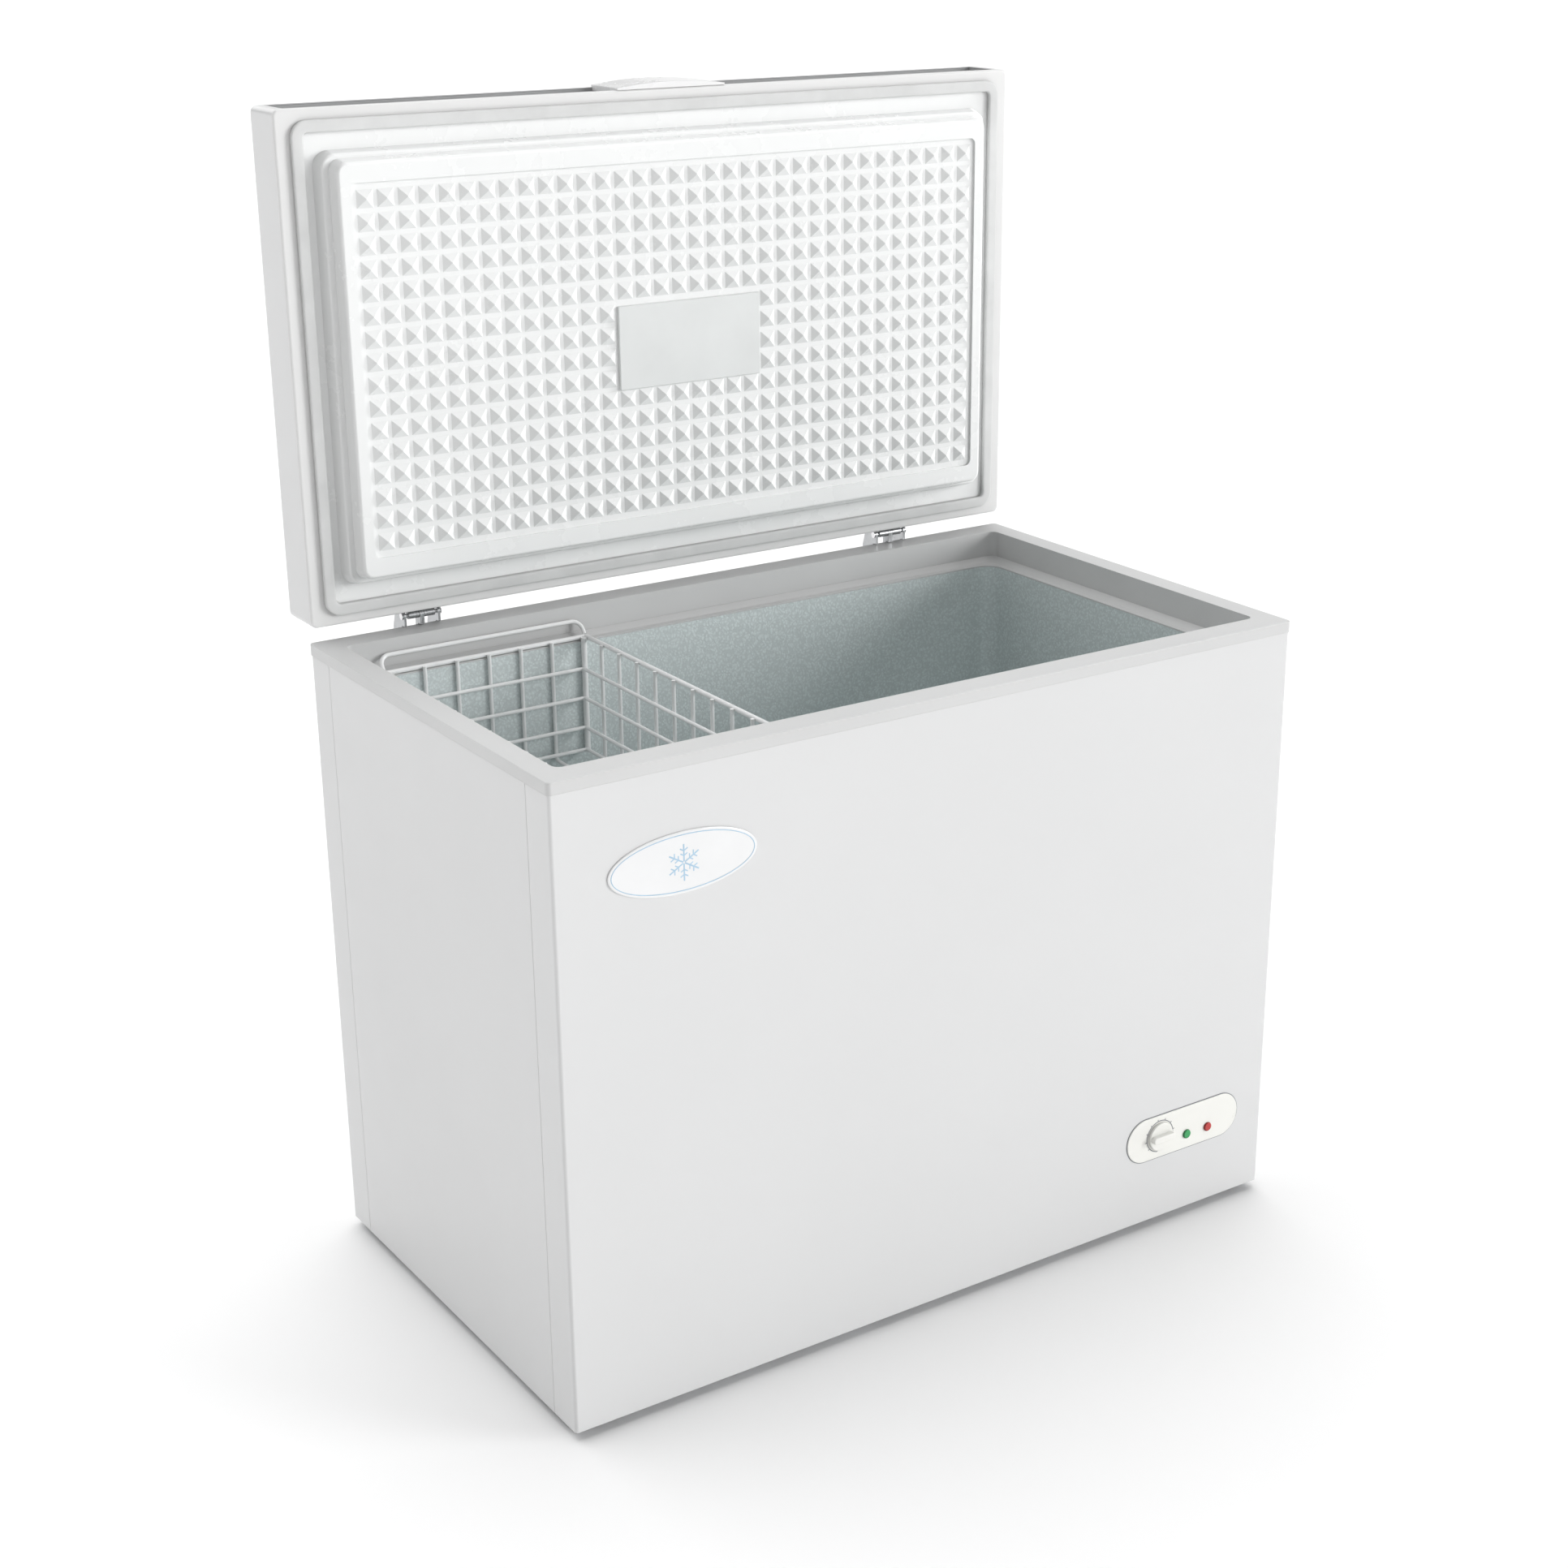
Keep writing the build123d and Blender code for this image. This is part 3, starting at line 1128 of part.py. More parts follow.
# Foam filling of the lid
with BuildPart() as lid_foam:
    lid_block(SKIN + 2.5, FRAME_TOP + 0.1)
    slab(
        frame_opening[0] - 0.6, frame_opening[1] - 0.6, 9.6, LID_UNDER + 2.1, FRAME_TOP + 0.1,
        at=LID_CENTRE, base=LID,
    )
    plug_shoulder(PLUG_WALL + 0.2, LID_UNDER + 2.1)
    plug_step(PLUG_WALL + 0.2, FIELD_BASE + 2.2)
    front_channel(1.5, GROOVE_DEPTH + 1.8, Mode.SUBTRACT)
    for x, z in leaf_screws:
        bore((x, HINGE_Y + z, HINGE_Z + 2), (0, 0, 1), 2.05, 25)
    for x in handle_screws:
        bore((x, HINGE_Y + 28, HINGE_Z - LID_FRONT), (0, 0, -1), 4.3, 16)
lid_foam.part.label = "lid_foam"
export_step(lid_foam.part, "parts/lid_foam.step")

# Grey channel strip let into the lid's front face
with BuildPart() as lid_front_trim:
    front_channel(1.0, GROOVE_DEPTH + 1.5, Mode.ADD)
    slab(1100, 30, 0, -20, 80, Mode.SUBTRACT, (0, LID_FRONT + SKIN + 0.4 - 15), LID)
    front_channel(0, GROOVE_DEPTH, Mode.SUBTRACT)
    for x in handle_screws:
        bore((x, HINGE_Y + 28, HINGE_Z - LID_FRONT), (0, 0, -1), SCREW_HOLE_R, 16)
lid_front_trim.part.label = "lid_front_trim"
export_step(lid_front_trim.part, "parts/lid_front_trim.step")

# Handle: a bowed grip that fills the middle of the groove
with BuildPart() as lid_handle:
    with BuildSketch(LID.offset(GROOVE_LOW + 0.2)):
        with Locations((0, LID_FRONT + GROOVE_DEPTH / 2 - 0.2)):
            Rectangle(2 * HANDLE_HALF, GROOVE_DEPTH)
    extrude(amount=GROOVE_HIGH - GROOVE_LOW - 0.4)
    with BuildSketch(LID.offset(LID_UNDER + 0.6)):
        with BuildLine():
            edge_y = LID_FRONT - 0.2
            Line((-HANDLE_HALF, edge_y), (HANDLE_HALF, edge_y))
            Line((HANDLE_HALF, edge_y), (HANDLE_HALF, edge_y - 2.5))
            ThreePointArc(
                (HANDLE_HALF, edge_y - 2.5), (0, LID_FRONT - HANDLE_REACH), (-HANDLE_HALF, edge_y - 2.5),
            )
            Line((-HANDLE_HALF, edge_y - 2.5), (-HANDLE_HALF, edge_y))
        make_face()
    extrude(amount=LID_TOP - LID_UNDER - 3)
    for x in handle_screws:
        bore((x, HINGE_Y + 28, HINGE_Z - LID_FRONT - 8), (0, 0, 1), 2.05, 13)
lid_handle.part.label = "lid_handle"
export_step(lid_handle.part, "parts/lid_handle.step")

with BuildPart() as lid_handle_screws:
    for x in handle_screws:
        bolt((x, HINGE_Y + 28, HINGE_Z - LID_FRONT - GROOVE_DEPTH - 1.5), (0, 0, 1), 4, 2.5, 2, 9)
lid_handle_screws.part.label = "lid_handle_screws"
export_step(lid_handle_screws.part, "parts/lid_handle_screws.step")

# Basket: heavy top wire, with corner posts and a hanger loop at the front and back welded on
basket_x = (BASKET_RIGHT + BASKET_LEFT) / 2
basket_width = BASKET_RIGHT - BASKET_LEFT
wire_inset = RIM_WIRE_R + WIRE_R
with BuildPart() as basket_top_frame:
    hoop(
        basket_width, 2 * BASKET_HALF_DEPTH, 4, RIM_WIRE_R, BASKET_TOP, (basket_x, 0),
    )
    foot_y = BASKET_HALF_DEPTH + 2.0
    foot_z = BASKET_TOP + 2.8
    for side in (-1, 1):
        pipe(
            (
                (BASKET_RIGHT - 1, side * foot_y, foot_z),
                (BASKET_RIGHT - 1, side * HANGER_Y, HANGER_Z),
                (BASKET_LEFT + 1, side * HANGER_Y, HANGER_Z),
                (BASKET_LEFT + 1, side * foot_y, foot_z),
            ),
            HANGER_R, 13,
        )
    post_inset = RIM_WIRE_R + WELD_GAP + POST_R
    for x in (BASKET_LEFT + post_inset, BASKET_RIGHT - post_inset):
        for side in (-1, 1):
            spot = (x, side * (BASKET_HALF_DEPTH - post_inset))
            disc(POST_R, BASKET_RINGS[-1] - 2, BASKET_TOP + 1, at=spot)
basket_top_frame.part.label = "basket_top_frame"
export_step(basket_top_frame.part, "parts/basket_top_frame.step")

# Level rings round the inside of the upright wires
with BuildPart() as basket_rings:
    ring_inset = wire_inset + 2 * WIRE_R
    for level in BASKET_RINGS:
        hoop(
            basket_width - 2 * ring_inset, 2 * (BASKET_HALF_DEPTH - ring_inset), 4, WIRE_R, level,
            (basket_x, 0),
        )
basket_rings.part.label = "basket_rings"
export_step(basket_rings.part, "parts/basket_rings.step")

# Upright wires: one set crosses the floor front to back, the other side to side
with BuildPart() as basket_cross_wires:
    for index in range(CROSS_WIRES):
        x = basket_x + (index - (CROSS_WIRES - 1) / 2) * CROSS_PITCH
        reach = BASKET_HALF_DEPTH - wire_inset
        pipe(
            (
                (x, -reach, BASKET_TOP + 1),
                (x, -reach, BASKET_FLOOR),
                (x, reach, BASKET_FLOOR),
                (x, reach, BASKET_TOP + 1),
            ),
            WIRE_R, 4,
        )
basket_cross_wires.part.label = "basket_cross_wires"
export_step(basket_cross_wires.part, "parts/basket_cross_wires.step")

with BuildPart() as basket_long_wires:
    for index in range(LONG_WIRES):
        y = (index - (LONG_WIRES - 1) / 2) * LONG_PITCH
        low = BASKET_FLOOR - 2 * WIRE_R
        pipe(
            (
                (BASKET_LEFT + wire_inset, y, BASKET_TOP + 1),
                (BASKET_LEFT + wire_inset, y, low),
                (BASKET_RIGHT - wire_inset, y, low),
                (BASKET_RIGHT - wire_inset, y, BASKET_TOP + 1),
            ),
            WIRE_R, 4,
        )
basket_long_wires.part.label = "basket_long_wires"
export_step(basket_long_wires.part, "parts/basket_long_wires.step")
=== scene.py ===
import json
import math

import bmesh
import bpy
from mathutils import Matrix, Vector


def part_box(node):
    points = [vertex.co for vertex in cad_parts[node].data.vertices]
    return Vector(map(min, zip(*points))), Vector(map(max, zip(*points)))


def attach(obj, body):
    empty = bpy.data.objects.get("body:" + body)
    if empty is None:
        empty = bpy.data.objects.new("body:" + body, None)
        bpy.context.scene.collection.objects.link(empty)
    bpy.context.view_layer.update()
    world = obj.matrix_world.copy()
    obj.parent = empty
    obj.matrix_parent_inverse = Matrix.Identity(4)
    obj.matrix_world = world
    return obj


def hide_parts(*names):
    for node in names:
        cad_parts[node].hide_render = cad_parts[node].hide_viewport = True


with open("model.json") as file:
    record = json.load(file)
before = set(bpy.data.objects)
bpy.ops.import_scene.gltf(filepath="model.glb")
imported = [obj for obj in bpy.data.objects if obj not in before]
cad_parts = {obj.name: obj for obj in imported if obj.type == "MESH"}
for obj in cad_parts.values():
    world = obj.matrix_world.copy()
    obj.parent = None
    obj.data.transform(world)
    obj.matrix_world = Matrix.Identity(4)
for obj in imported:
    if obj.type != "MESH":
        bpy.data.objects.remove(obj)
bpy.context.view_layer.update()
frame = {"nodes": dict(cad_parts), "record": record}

NODES = frame["nodes"]
MM = 0.001
FRONT_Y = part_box("front_panel")[0][1]
CABINET_MID_Y = (FRONT_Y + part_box("back_panel")[1][1]) / 2


# ---------------------------------------------------------------- materials
class Net:
    """Small helper round one material's node tree."""

    def __init__(self, name):
        self.material = bpy.data.materials.new(name)
        self.material.use_nodes = True
        self.tree = self.material.node_tree
        self.tree.nodes.clear()
        self.out = self.add("ShaderNodeOutputMaterial")
        self.bsdf = self.add("ShaderNodeBsdfPrincipled")
        self.link(self.bsdf.outputs[0], self.out.inputs["Surface"])
        self.coord = self.add("ShaderNodeTexCoord")

    def add(self, kind, inputs=None, **props):
        """New node; an input is either a value or the socket that feeds it."""
        node = self.tree.nodes.new(kind)
        for key, value in props.items():
            setattr(node, key, value)
        for key, value in (inputs or {}).items():
            if isinstance(value, bpy.types.NodeSocket):
                self.link(value, node.inputs[key])
            else:
                node.inputs[key].default_value = value
        return node

    def link(self, source, target):
        self.tree.links.new(source, target)

    def set(self, **values):
        """Shader sockets that are the same all over the surface."""
        for key, value in values.items():
            self.bsdf.inputs[key.replace("_", " ")].default_value = value

    def noise(self, scale, detail=3.0, rough=0.5, vector=None):
        node = self.add(
            "ShaderNodeTexNoise", {"Scale": scale, "Detail": detail, "Roughness": rough},
        )
        self.link(vector or self.coord.outputs["Object"], node.inputs["Vector"])
        return node.outputs["Fac"]

    def spread(self, fac, low, high, from_low=0.3, from_high=0.7):
        """Stretch a factor from one range to another."""
        ends = {"From Min": from_low, "From Max": from_high, "To Min": low, "To Max": high}
        return self.add("ShaderNodeMapRange", {"Value": fac, **ends}).outputs["Result"]

    def mix(self, fac, a, b):
        """Blend of two colours; a colour is a socket or a tuple."""
        factor_socket, a_socket, b_socket, result_socket = 0, 6, 7, 2
        node = self.add("ShaderNodeMix", {factor_socket: fac}, data_type="RGBA")
        for value, index in ((a, a_socket), (b, b_socket)):
            if isinstance(value, bpy.types.NodeSocket):
                self.link(value, node.inputs[index])
            else:
                node.inputs[index].default_value = (*value[:3], 1.0)
        return node.outputs[result_socket]

    def bump(self, height, strength, distance, normal=None):
        node = self.add(
            "ShaderNodeBump", {"Height": height, "Strength": strength, "Distance": distance},
        )
        if normal is not None:
            self.link(normal, node.inputs["Normal"])
        return node.outputs["Normal"]

    def soften(self, radius):
        """Normal that rounds off sharp edges by a radius in metres."""
        return self.add("ShaderNodeBevel", {"Radius": radius}, samples=4).outputs["Normal"]


def shade(color, share):
    """Colour made lighter or darker, held below full white."""
    return [min(1.0, c * share) for c in color]


SHADE_REACH = 0.02  # metres from a corner that the painted shade reaches over
SHADE_SHARE = 0.62  # brightness of the shade painted into corners against the plain colour


def surface(
    name, color, rough, metal=0.0, spread=0.05, mottle=(3.0, 0.02), grain=(400.0, 0.08, 0.0003),
    coat=0.0, sheen=0.0, soften=0.0, spec=0.5, corner_shade=0.0, edge_highlight=None,
):
    """Procedural finish of a painted, moulded or plated surface.

    mottle is the scale and depth of the clouds in the colour, and grain the scale, strength and
    height in metres of the fine bump. spread is how far the roughness wanders either way. soften
    is the radius in metres of edges, and corner_shade the strength of the shade painted into
    corners by ambient occlusion. edge_highlight is the reach in metres, strength and colour of
    the highlight painted in patches along edges.
    """
    net = Net(name)
    mottle_scale, mottle_depth = mottle
    clouds = net.spread(net.noise(mottle_scale, 4.0, 0.55), 0.0, 1.0)
    tone = net.mix(clouds, shade(color, 1 - mottle_depth * 2), shade(color, 1 + mottle_depth))
    # Painted shade: the colour darkens in corners and recesses, by ambient occlusion.
    if corner_shade:
        cavity = net.add("ShaderNodeAmbientOcclusion", {"Distance": SHADE_REACH}, samples=8)
        painted_shade = net.spread(cavity.outputs["AO"], corner_shade, 0.0, 0.45, 0.95)
        tone = net.mix(painted_shade, tone, shade(color, SHADE_SHARE))
    # Painted highlight: the colour turns lighter in patches along rounded edges.
    if edge_highlight:
        reach, strength, edge_highlight_color = edge_highlight
        flat = net.add("ShaderNodeNewGeometry")
        facing = net.add(
            "ShaderNodeVectorMath", {0: flat.outputs["Normal"], 1: net.soften(reach)},
            operation="DOT_PRODUCT",
        )
        edge_highlight_mask = net.spread(facing.outputs["Value"], strength, 0.0, 0.86, 0.99)
        patches = {0: edge_highlight_mask, 1: net.noise(60.0, 4.0, 0.6)}
        patchy_highlight = net.add("ShaderNodeMath", patches, operation="MULTIPLY")
        tone = net.mix(patchy_highlight.outputs[0], tone, edge_highlight_color)
    net.link(tone, net.bsdf.inputs["Base Color"])
    uneven = net.spread(net.noise(14.0, 5.0, 0.6), max(0.02, rough - spread), rough + spread)
    net.link(uneven, net.bsdf.inputs["Roughness"])
    grain_scale, grain_strength, grain_height = grain
    base_normal = net.soften(soften) if soften else None
    fine = net.bump(net.noise(grain_scale, 2.0), grain_strength, grain_height, base_normal)
    net.link(fine, net.bsdf.inputs["Normal"])
    net.set(
        Metallic=metal, Coat_Weight=coat, Coat_Roughness=0.12, Sheen_Weight=sheen,
        Specular_IOR_Level=spec,
    )
    return net.material


def stucco_sheet(name, color):
    """Pebble-embossed aluminium sheet of the food liner."""
    net = Net(name)
    place = net.coord.outputs["Object"]
    warp = net.add("ShaderNodeTexNoise", {"Scale": 60.0, "Detail": 2.0, "Vector": place})
    shift = net.mix(0.012, (0, 0, 0), warp.outputs["Color"])
    warped = net.add("ShaderNodeVectorMath", {0: place, 1: shift}, operation="ADD")
    cells = net.add(
        "ShaderNodeTexVoronoi",
        {"Scale": 260.0, "Smoothness": 0.5, "Vector": warped.outputs[0]},
        feature="SMOOTH_F1",
    )
    pebble = net.spread(cells.outputs["Distance"], 1.0, 0.0, 0.05, 0.6)
    # Painted shade: the colour is lighter on the pebble tops and darker in the hollows between
    # them, mixed half and half with random speckle.
    shade_and_speckle = net.mix(0.5, pebble, net.noise(420.0, 2.0, 0.6))
    tone = net.mix(shade_and_speckle, shade(color, 0.72), shade(color, 1.22))
    cloud = net.spread(net.noise(5.0, 4.0, 0.6), 0.0, 0.3)
    net.link(net.mix(cloud, tone, shade(color, 0.88)), net.bsdf.inputs["Base Color"])
    net.link(net.spread(net.noise(90.0, 4.0, 0.6), 0.36, 0.52), net.bsdf.inputs["Roughness"])
    net.link(net.bump(pebble, 0.4, 0.0005), net.bsdf.inputs["Normal"])
    net.set(Metallic=0.15)
    return net.material


def brushed(name, color, rough, scale=(8.0, 900.0, 8.0)):
    """Metal with fine drawn scratches along one direction."""
    net = Net(name)
    stretch = net.add("ShaderNodeMapping", {"Scale": scale, "Vector": net.coord.outputs["Object"]})
    streak = net.noise(1.0, 4.0, 0.6, stretch.outputs[0])
    tone = net.mix(net.spread(streak, 0.0, 1.0), shade(color, 0.82), shade(color, 1.08))
    net.link(tone, net.bsdf.inputs["Base Color"])
    net.link(net.spread(streak, rough * 0.8, rough * 1.25), net.bsdf.inputs["Roughness"])
    net.link(net.bump(streak, 0.08, 0.0002), net.bsdf.inputs["Normal"])
    net.set(Metallic=1.0)
    return net.material


LENS_HIGHLIGHT_FACING = (0.25, -0.93, 0.27)  # the way the highlight painted on a lens faces


def lens(name, color):
    """Moulded translucent cap of an indicator lamp."""
    net = Net(name)
    rings = net.add(
        "ShaderNodeTexWave",
        {"Scale": 260.0, "Distortion": 0.0, "Vector": net.coord.outputs["Object"]},
        bands_direction="DIAGONAL",
    )
    # Painted highlight and shade: the cap is lighter where its surface faces one fixed direction,
    # and a darker shaded copy of its colour elsewhere.
    facing = net.add("ShaderNodeNewGeometry").outputs["Normal"]
    highlight_facing = net.add("ShaderNodeVectorMath", {0: facing, 1: LENS_HIGHLIGHT_FACING}, operation="DOT_PRODUCT")
    lens_highlight = net.spread(highlight_facing.outputs["Value"], 0.0, 1.0, 0.72, 1.0)
    lens_highlight_color = [min(1.0, c * 1.15 + 0.03) for c in color]
    tone = net.mix(lens_highlight, shade(color, 0.30), lens_highlight_color)
    grainy = net.mix(net.spread(net.noise(90.0), 0.0, 0.2), tone, shade(color, 0.7))
    net.link(grainy, net.bsdf.inputs["Base Color"])
    net.link(net.spread(net.noise(40.0), 0.08, 0.2), net.bsdf.inputs["Roughness"])
    net.link(net.bump(rings.outputs["Fac"], 0.15, 0.0003), net.bsdf.inputs["Normal"])
    net.set(Transmission_Weight=0.25, Emission_Color=(*color, 1), Emission_Strength=0.08)
    return net.material


SURFACES = {
    "white_enamel": dict(
        color=(0.675, 0.678, 0.680), rough=0.34, mottle=(1.4, 0.012), grain=(520.0, 0.10, 0.0003),
        coat=0.25, soften=0.0012, edge_highlight=(0.0022, 0.25, (0.93, 0.93, 0.93)),
    ),
    "galvanised_sheet": dict(
        color=(0.55, 0.57, 0.59), rough=0.42, metal=0.9, mottle=(26.0, 0.14),
        grain=(60.0, 0.12, 0.0003),
    ),
    "foam": dict(
        color=(0.83, 0.74, 0.50), rough=0.85, mottle=(40.0, 0.06), grain=(180.0, 0.6, 0.001),
    ),
    "rim_plastic": dict(
        color=(0.61, 0.613, 0.612), rough=0.38, mottle=(4.0, 0.015), grain=(700.0, 0.12, 0.0002),
        soften=0.0010, corner_shade=0.35, spec=0.45,
    ),
    "lid_frame": dict(
        color=(0.745, 0.745, 0.742), rough=0.38, mottle=(4.0, 0.012), grain=(700.0, 0.10, 0.0002),
        soften=0.0008, corner_shade=0.35,
    ),
    "lid_plastic": dict(
        color=(0.715, 0.722, 0.72), rough=0.26, mottle=(5.0, 0.01), grain=(300.0, 0.05, 0.0002),
        coat=0.15,
    ),
    "gasket_vinyl": dict(
        color=(0.64, 0.645, 0.642), rough=0.55, mottle=(18.0, 0.04), grain=(900.0, 0.2, 0.0002),
        sheen=0.15, corner_shade=0.5,
    ),
    "grey_trim": dict(
        color=(0.43, 0.435, 0.44), rough=0.50, mottle=(10.0, 0.03), grain=(800.0, 0.2, 0.0002),
        corner_shade=0.3,
    ),
    "handle_plastic": dict(
        color=(0.82, 0.82, 0.82), rough=0.28, mottle=(8.0, 0.01), grain=(500.0, 0.08, 0.0002),
        coat=0.2, soften=0.0015,
    ),
    "label_plastic": dict(
        color=(0.73, 0.745, 0.74), rough=0.42, mottle=(12.0, 0.02), grain=(600.0, 0.12, 0.0002),
        soften=0.0005,
    ),
    "foot_rubber": dict(
        color=(0.035, 0.035, 0.035), rough=0.75, mottle=(30.0, 0.1), grain=(500.0, 0.4, 0.0004),
    ),
    "copper_tube": dict(color=(0.76, 0.42, 0.27), rough=0.28, metal=1.0, mottle=(30.0, 0.12)),
    "black_steel": dict(
        color=(0.025, 0.025, 0.027), rough=0.32, grain=(300.0, 0.2, 0.0004), coat=0.2,
    ),
    "grommet_rubber": dict(color=(0.03, 0.03, 0.03), rough=0.7, grain=(400.0, 0.3, 0.0003)),
    "black_plastic": dict(
        color=(0.03, 0.03, 0.032), rough=0.45, grain=(700.0, 0.3, 0.0003), soften=0.0006,
    ),
    "grey_plastic": dict(
        color=(0.36, 0.37, 0.38), rough=0.5, grain=(600.0, 0.25, 0.0003), soften=0.0006,
    ),
    "white_plastic": dict(
        color=(0.78, 0.78, 0.77), rough=0.42, grain=(650.0, 0.2, 0.0003), soften=0.0006, corner_shade=0.3,
    ),
    "panel_plastic": dict(
        color=(0.84, 0.838, 0.80), rough=0.30, mottle=(10.0, 0.015), grain=(800.0, 0.10, 0.0002),
        coat=0.15, soften=0.0006, corner_shade=0.25,
    ),
    "dial_print": dict(color=(0.20, 0.21, 0.23), rough=0.5, grain=(900.0, 0.15, 0.0001)),
    "lamp_glass": dict(color=(0.8, 0.8, 0.75), rough=0.1, grain=(200.0, 0.05, 0.0002)),
    "badge_plastic": dict(
        color=(0.79, 0.795, 0.80), rough=0.20, mottle=(20.0, 0.01), grain=(900.0, 0.06, 0.0002),
        coat=0.4,
    ),
    "crystal_blue": dict(
        color=(0.38, 0.55, 0.70), rough=0.28, mottle=(60.0, 0.03), grain=(900.0, 0.06, 0.0002),
        coat=0.3,
    ),
    "pin_chrome": dict(
        color=(0.78, 0.78, 0.79), rough=0.10, metal=1.0, spread=0.04, grain=(200.0, 0.03, 0.0001),
    ),
    "basket_wire": dict(
        color=(0.88, 0.885, 0.885), rough=0.34, mottle=(24.0, 0.02), grain=(260.0, 0.25, 0.0004),
        coat=0.3,
    ),
}
FINISH = {name: surface(name, **look) for name, look in SURFACES.items()}
FINISH["embossed_aluminium"] = stucco_sheet("embossed_aluminium", (0.75, 0.815, 0.815))
FINISH["screw_steel"] = brushed("screw_steel", (0.66, 0.67, 0.69), 0.28, (200.0, 200.0, 900.0))
FINISH["bracket_steel"] = brushed("bracket_steel", (0.50, 0.51, 0.52), 0.30, (700.0, 30.0, 30.0))
FINISH["spring_steel"] = brushed("spring_steel", (0.30, 0.30, 0.31), 0.35)
FINISH["green_lens"] = lens("green_lens", (0.03, 0.42, 0.12))
FINISH["red_lens"] = lens("red_lens", (0.60, 0.03, 0.025))


def paint(obj, finish_name):
    """Put the finish in every material slot of an object."""
    if not obj.material_slots:
        obj.data.materials.append(FINISH[finish_name])
    for entry in obj.material_slots:
        entry.material = FINISH[finish_name]


for part in frame["record"]["subparts"]:
    paint(NODES[part["node"]], part["material_slot"])
paint(NODES["lid_inner_frame"], "lid_frame")


# ---------------------------------------------------------------- mesh helpers
def piece(name, mesh_builder, slot_name, body, *replaced):
    """New mesh object with a finish, riding on a body and standing for CAD nodes."""
    mesh = bpy.data.meshes.new(name)
    bm = bmesh.new()
    mesh_builder(bm)
    bmesh.ops.recalc_face_normals(bm, faces=bm.faces)
    bm.to_mesh(mesh)
    bm.free()
    for polygon in mesh.polygons:
        polygon.use_smooth = True
    obj = bpy.data.objects.new(name, mesh)
    bpy.context.scene.collection.objects.link(obj)
    obj.data.materials.append(FINISH[slot_name])
    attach(obj, body)
    if replaced:
        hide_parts(*replaced)
    return obj


def middle(low, high, axis):
    return (low[axis] + high[axis]) / 2


def half_size(low, high, axis):
    return (high[axis] - low[axis]) / 2


def rounded_loop(half_x, half_z, radius, steps):
    """Points round a rounded rectangle, counter-clockwise."""
    points = []
    for side_x, side_z, start in ((1, 1, 0), (-1, 1, 90), (-1, -1, 180), (1, -1, 270)):
        for k in range(steps + 1):
            a = math.radians(start + 90 * k / steps)
            points.append((
                side_x * (half_x - radius) + radius * math.cos(a),
                side_z * (half_z - radius) + radius * math.sin(a),
            ))
    return points


def skin(bm, rings, closed=True):
    """Quads between rings of equal length; closed joins the last ring to the first, and an
    open skin gets an end face on its first and last ring."""
    rows = [[bm.verts.new(p) for p in ring] for ring in rings]
    pairs = list(zip(rows, rows[1:])) + ([(rows[-1], rows[0])] if closed else [])
    for first, second in pairs:
        for i in range(len(first)):
            j = (i + 1) % len(first)
            bm.faces.new((first[i], first[j], second[j], second[i]))
    if not closed:
        bm.faces.new(rows[0])
        bm.faces.new(rows[-1])


# ---------------------------------------------------------------- lid gasket
LID_FACE_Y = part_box("lid_inner_frame")[0][1]
GASKET_CORNER = 20.0
# Inset from the outer edge and height over the lid's frame, in mm, round the tube of the seal
GASKET_PROFILE = (
    (0.7, -0.4), (0.7, 0.7), (0.0, 1.3), (0.0, 4.6), (0.25, 5.7), (0.9, 6.35), (2.0, 6.6),
    (5.0, 6.65), (9.0, 6.65), (12.0, 6.6), (13.1, 6.3), (13.75, 5.6), (14.0, 4.6), (14.0, 1.3),
    (13.2, 0.7), (13.2, -0.4),
)


def build_gasket(bm):
    low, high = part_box("lid_gasket")
    rings = []
    for inset, proud in GASKET_PROFILE:
        loop = rounded_loop(
            half_size(low, high, 0) - inset * MM, half_size(low, high, 2) - inset * MM,
            (GASKET_CORNER - inset) * MM, 10,
        )
        rings.append([(x, LID_FACE_Y - proud * MM, middle(low, high, 2) + z) for x, z in loop])
    skin(bm, rings)


piece("lid_gasket_seal", build_gasket, "gasket_vinyl", "lid", "lid_gasket")

# ---------------------------------------------------------------- oval badge
BADGE_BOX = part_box("badge_plate")
BADGE_MID = (middle(*BADGE_BOX, 0), middle(*BADGE_BOX, 2))
BADGE_HALF = (half_size(*BADGE_BOX, 0), half_size(*BADGE_BOX, 2))
# Inset from the badge's edge and height over the front panel, in mm
BADGE_PROFILE = (
    (0.0, 0.0), (0.0, 1.1), (0.2, 1.6), (0.7, 1.95), (1.6, 2.1), (5.0, 2.15), (12.0, 2.2),
    (20.0, 2.25), (28.0, 2.27), (34.5, 2.28),
)
BADGE_RIM_PROFILE = ((3.2, 1.9), (3.2, 2.3), (3.45, 2.4), (3.95, 2.4), (4.2, 2.3), (4.2, 1.9))
OVAL_POINTS = 128


def oval_rings(bm, profile, closed):
    """Rings of an oval boss on the front panel."""
    rings = []
    for inset, proud in profile:
        ring = []
        for k in range(OVAL_POINTS):
            a = 2 * math.pi * k / OVAL_POINTS
            x = BADGE_MID[0] + (BADGE_HALF[0] - inset * MM) * math.cos(a)
            z = BADGE_MID[1] + (BADGE_HALF[1] - inset * MM) * math.sin(a)
            ring.append((x, FRONT_Y - proud * MM, z))
        rings.append(ring)
    skin(bm, rings, closed=closed)


def build_badge_plate(bm):
    oval_rings(bm, BADGE_PROFILE, closed=False)


def build_badge_rim(bm):
    oval_rings(bm, BADGE_RIM_PROFILE, closed=True)


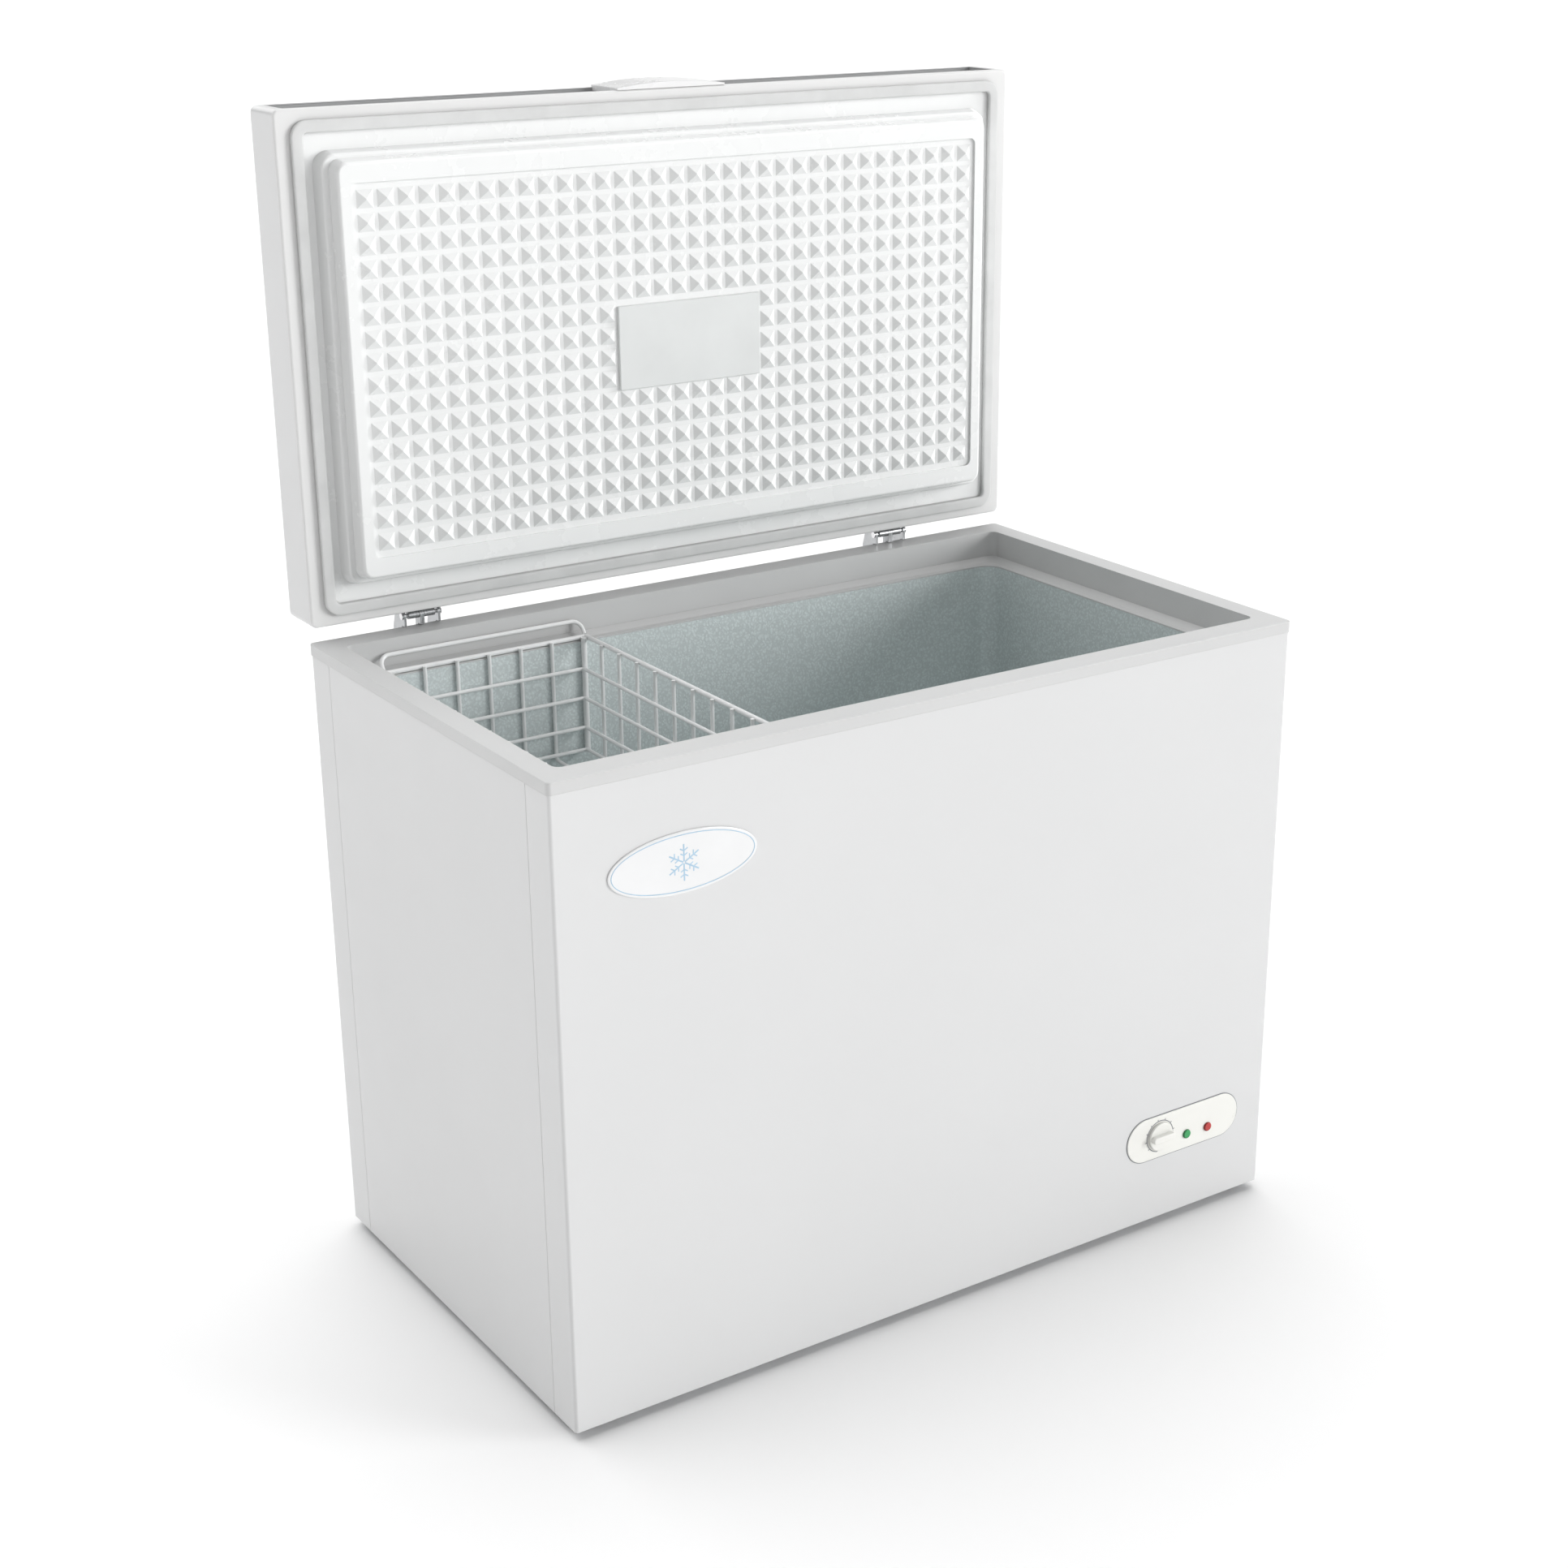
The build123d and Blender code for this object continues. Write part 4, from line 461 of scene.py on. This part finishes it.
CRYSTAL_FOOT = 2.0  # where the raised bars start, just inside the badge's face
CRYSTAL_ARMS = 6
ARM_INNER, ARM_OUTER, ARM_HALF_WIDTH, ARM_HEIGHT = 1.2, 21.0, 0.9, 2.38
TWIGS = ((8.0, 5.0), (13.5, 5.5))  # distance from the middle and length
TWIG_TURN, TWIG_HALF_WIDTH, TWIG_HEIGHT = 60, 0.75, 2.36


def bar(bm, start, end, half, high):
    """Raised bar with softened top edges, between two points on the badge, in mm."""
    direction = (end - start).normalized()
    side = Vector((-direction.y, direction.x))
    rings = []
    for width, proud in (
        (half, CRYSTAL_FOOT), (half, high - 0.12), (half - 0.15, high), (0.0, high + 0.02),
    ):
        ring = []
        for at_end, across in ((0, -1), (1, -1), (1, 1), (0, 1)):
            grow = direction * (width - half)
            tip = end + grow if at_end else start - grow
            x, z = tip + side * across * max(width, 0.05)
            ring.append((BADGE_MID[0] + x * MM, FRONT_Y - proud * MM, BADGE_MID[1] + z * MM))
        rings.append(ring)
    skin(bm, rings, closed=False)


def unit(degrees):
    return Vector((math.cos(math.radians(degrees)), math.sin(math.radians(degrees))))


def build_badge_crystal(bm):
    for k in range(CRYSTAL_ARMS):
        turn = 360 / CRYSTAL_ARMS * k + 30
        arm = unit(turn)
        bar(bm, arm * ARM_INNER, arm * ARM_OUTER, ARM_HALF_WIDTH, ARM_HEIGHT)
        for reach, length in TWIGS:
            for fork in (-TWIG_TURN, TWIG_TURN):
                twig_end = arm * reach + unit(turn + fork) * length
                bar(bm, arm * reach, twig_end, TWIG_HALF_WIDTH, TWIG_HEIGHT)


piece("front_badge", build_badge_plate, "badge_plastic", "cabinet", "badge_plate")
for trim_name, trim_builder in (
    ("front_badge_rim", build_badge_rim), ("front_badge_crystal", build_badge_crystal),
):
    paint(piece(trim_name, trim_builder, "badge_plastic", "cabinet"), "crystal_blue")

# ---------------------------------------------------------------- dark ring round the control panel, a painted shadow of the gap round the bezel
# Distance outside the bezel and height over the front panel, in mm
SHADOW_RING_PROFILE = ((0.1, -0.2), (0.1, 0.55), (0.3, 0.7), (0.7, 0.7), (0.9, 0.55), (0.9, -0.2))


# Painted shadow: a thin dark ring standing for the shade in the gap round the bezel.
def build_bezel_shadow_ring(bm):
    low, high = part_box("control_panel_bezel")
    rings = []
    for outset, proud in SHADOW_RING_PROFILE:
        half_x = half_size(low, high, 0) + outset * MM
        half_z = half_size(low, high, 2) + outset * MM
        rings.append([
            (middle(low, high, 0) + x, FRONT_Y - proud * MM, middle(low, high, 2) + z)
            for x, z in rounded_loop(half_x, half_z, half_z, 24)
        ])
    skin(bm, rings)


piece("control_panel_shadow_ring", build_bezel_shadow_ring, "dial_print", "cabinet")

# ---------------------------------------------------------------- studio
FLOOR_HALF = 60.0
# Direction towards each soft distant lamp, its spread in degrees, and the brightness that it
# gives a white surface facing it
LAMPS = {
    "key": ((0.73, -0.64, 0.22), 28, 0.60),
    "glance": ((0.96, -0.22, 0.16), 18, 0.95),
    "front": ((-0.12, -0.90, 0.40), 60, 0.09),
    "overhead": ((0.05, 0.45, 0.89), 95, 0.94),
    "side": ((-0.88, 0.36, 0.20), 50, 0.09),
}


def build_floor():
    mesh = bpy.data.meshes.new("studio_floor")
    bm = bmesh.new()
    corners = ((-1, -1), (1, -1), (1, 1), (-1, 1))
    bm.faces.new([bm.verts.new((x * FLOOR_HALF, y * FLOOR_HALF, 0.0)) for x, y in corners])
    bm.to_mesh(mesh)
    bm.free()
    floor = bpy.data.objects.new("studio_floor", mesh)
    bpy.context.scene.collection.objects.link(floor)
    net = Net("studio_floor")
    pale, paler = (0.955, 0.955, 0.955), (0.965, 0.965, 0.965)
    tone = net.mix(net.spread(net.noise(0.8), 0.0, 1.0), pale, paler)
    net.link(tone, net.bsdf.inputs["Base Color"])
    net.link(net.spread(net.noise(3.0), 0.6, 0.8), net.bsdf.inputs["Roughness"])
    net.set(Specular_IOR_Level=0.2)
    floor.data.materials.append(net.material)


def build_lamp(name, toward, spread, level):
    data = bpy.data.lights.new(name, "SUN")
    data.angle = math.radians(spread)
    data.energy = level * math.pi
    lamp = bpy.data.objects.new(name, data)
    lamp.rotation_euler = Vector(toward).to_track_quat("Z", "Y").to_euler()
    bpy.context.scene.collection.objects.link(lamp)
    return lamp


def build_sky():
    """White horizon that dims overhead, so that shapes keep their shading."""
    world = bpy.data.worlds.new("studio")
    world.use_nodes = True
    tree = world.node_tree
    sky = tree.nodes["Background"]
    sky.inputs["Color"].default_value = (1.0, 1.0, 1.0, 1.0)
    direction = tree.nodes.new("ShaderNodeTexCoord")
    height = tree.nodes.new("ShaderNodeSeparateXYZ")
    fade = tree.nodes.new("ShaderNodeMapRange")
    fade.interpolation_type = "SMOOTHSTEP"
    ends = {"From Min": 0.09, "From Max": 0.17, "To Min": 1.0, "To Max": 0.14}
    for key, value in ends.items():
        fade.inputs[key].default_value = value
    tree.links.new(direction.outputs["Generated"], height.inputs[0])
    tree.links.new(height.outputs["Z"], fade.inputs["Value"])
    tree.links.new(fade.outputs["Result"], sky.inputs["Strength"])
    bpy.context.scene.world = world


build_floor()
lamps = {name: build_lamp(name, *setting) for name, setting in LAMPS.items()}
# The grazing lamp reaches only the pyramids of the lid's liner
glance_receivers = bpy.data.collections.new("glance_receivers")
glance_receivers.objects.link(NODES["lid_liner"])
lamps["glance"].light_linking.receiver_collection = glance_receivers
build_sky()
bpy.context.scene.view_settings.view_transform = "Standard"

# ---------------------------------------------------------------- camera
SENSOR_WIDTH, FOCAL_LENGTH = 36.0, 58.27
SHIFT_X, SHIFT_Y = -0.0461, 0.0051
CAMERA_PLACE = (-1.6331, -2.4658 + CABINET_MID_Y, 1.6645)
LOOK_DOWN, LOOK_RIGHT = 20.141, 34.665

camera_data = bpy.data.cameras.new("camera")
camera_data.sensor_width = SENSOR_WIDTH
camera_data.lens = FOCAL_LENGTH
camera_data.shift_x = SHIFT_X
camera_data.shift_y = SHIFT_Y
camera = bpy.data.objects.new("camera", camera_data)
camera.location = CAMERA_PLACE
camera.rotation_euler = (math.radians(90 - LOOK_DOWN), 0.0, math.radians(-LOOK_RIGHT))
bpy.context.scene.collection.objects.link(camera)
bpy.context.scene.camera = camera
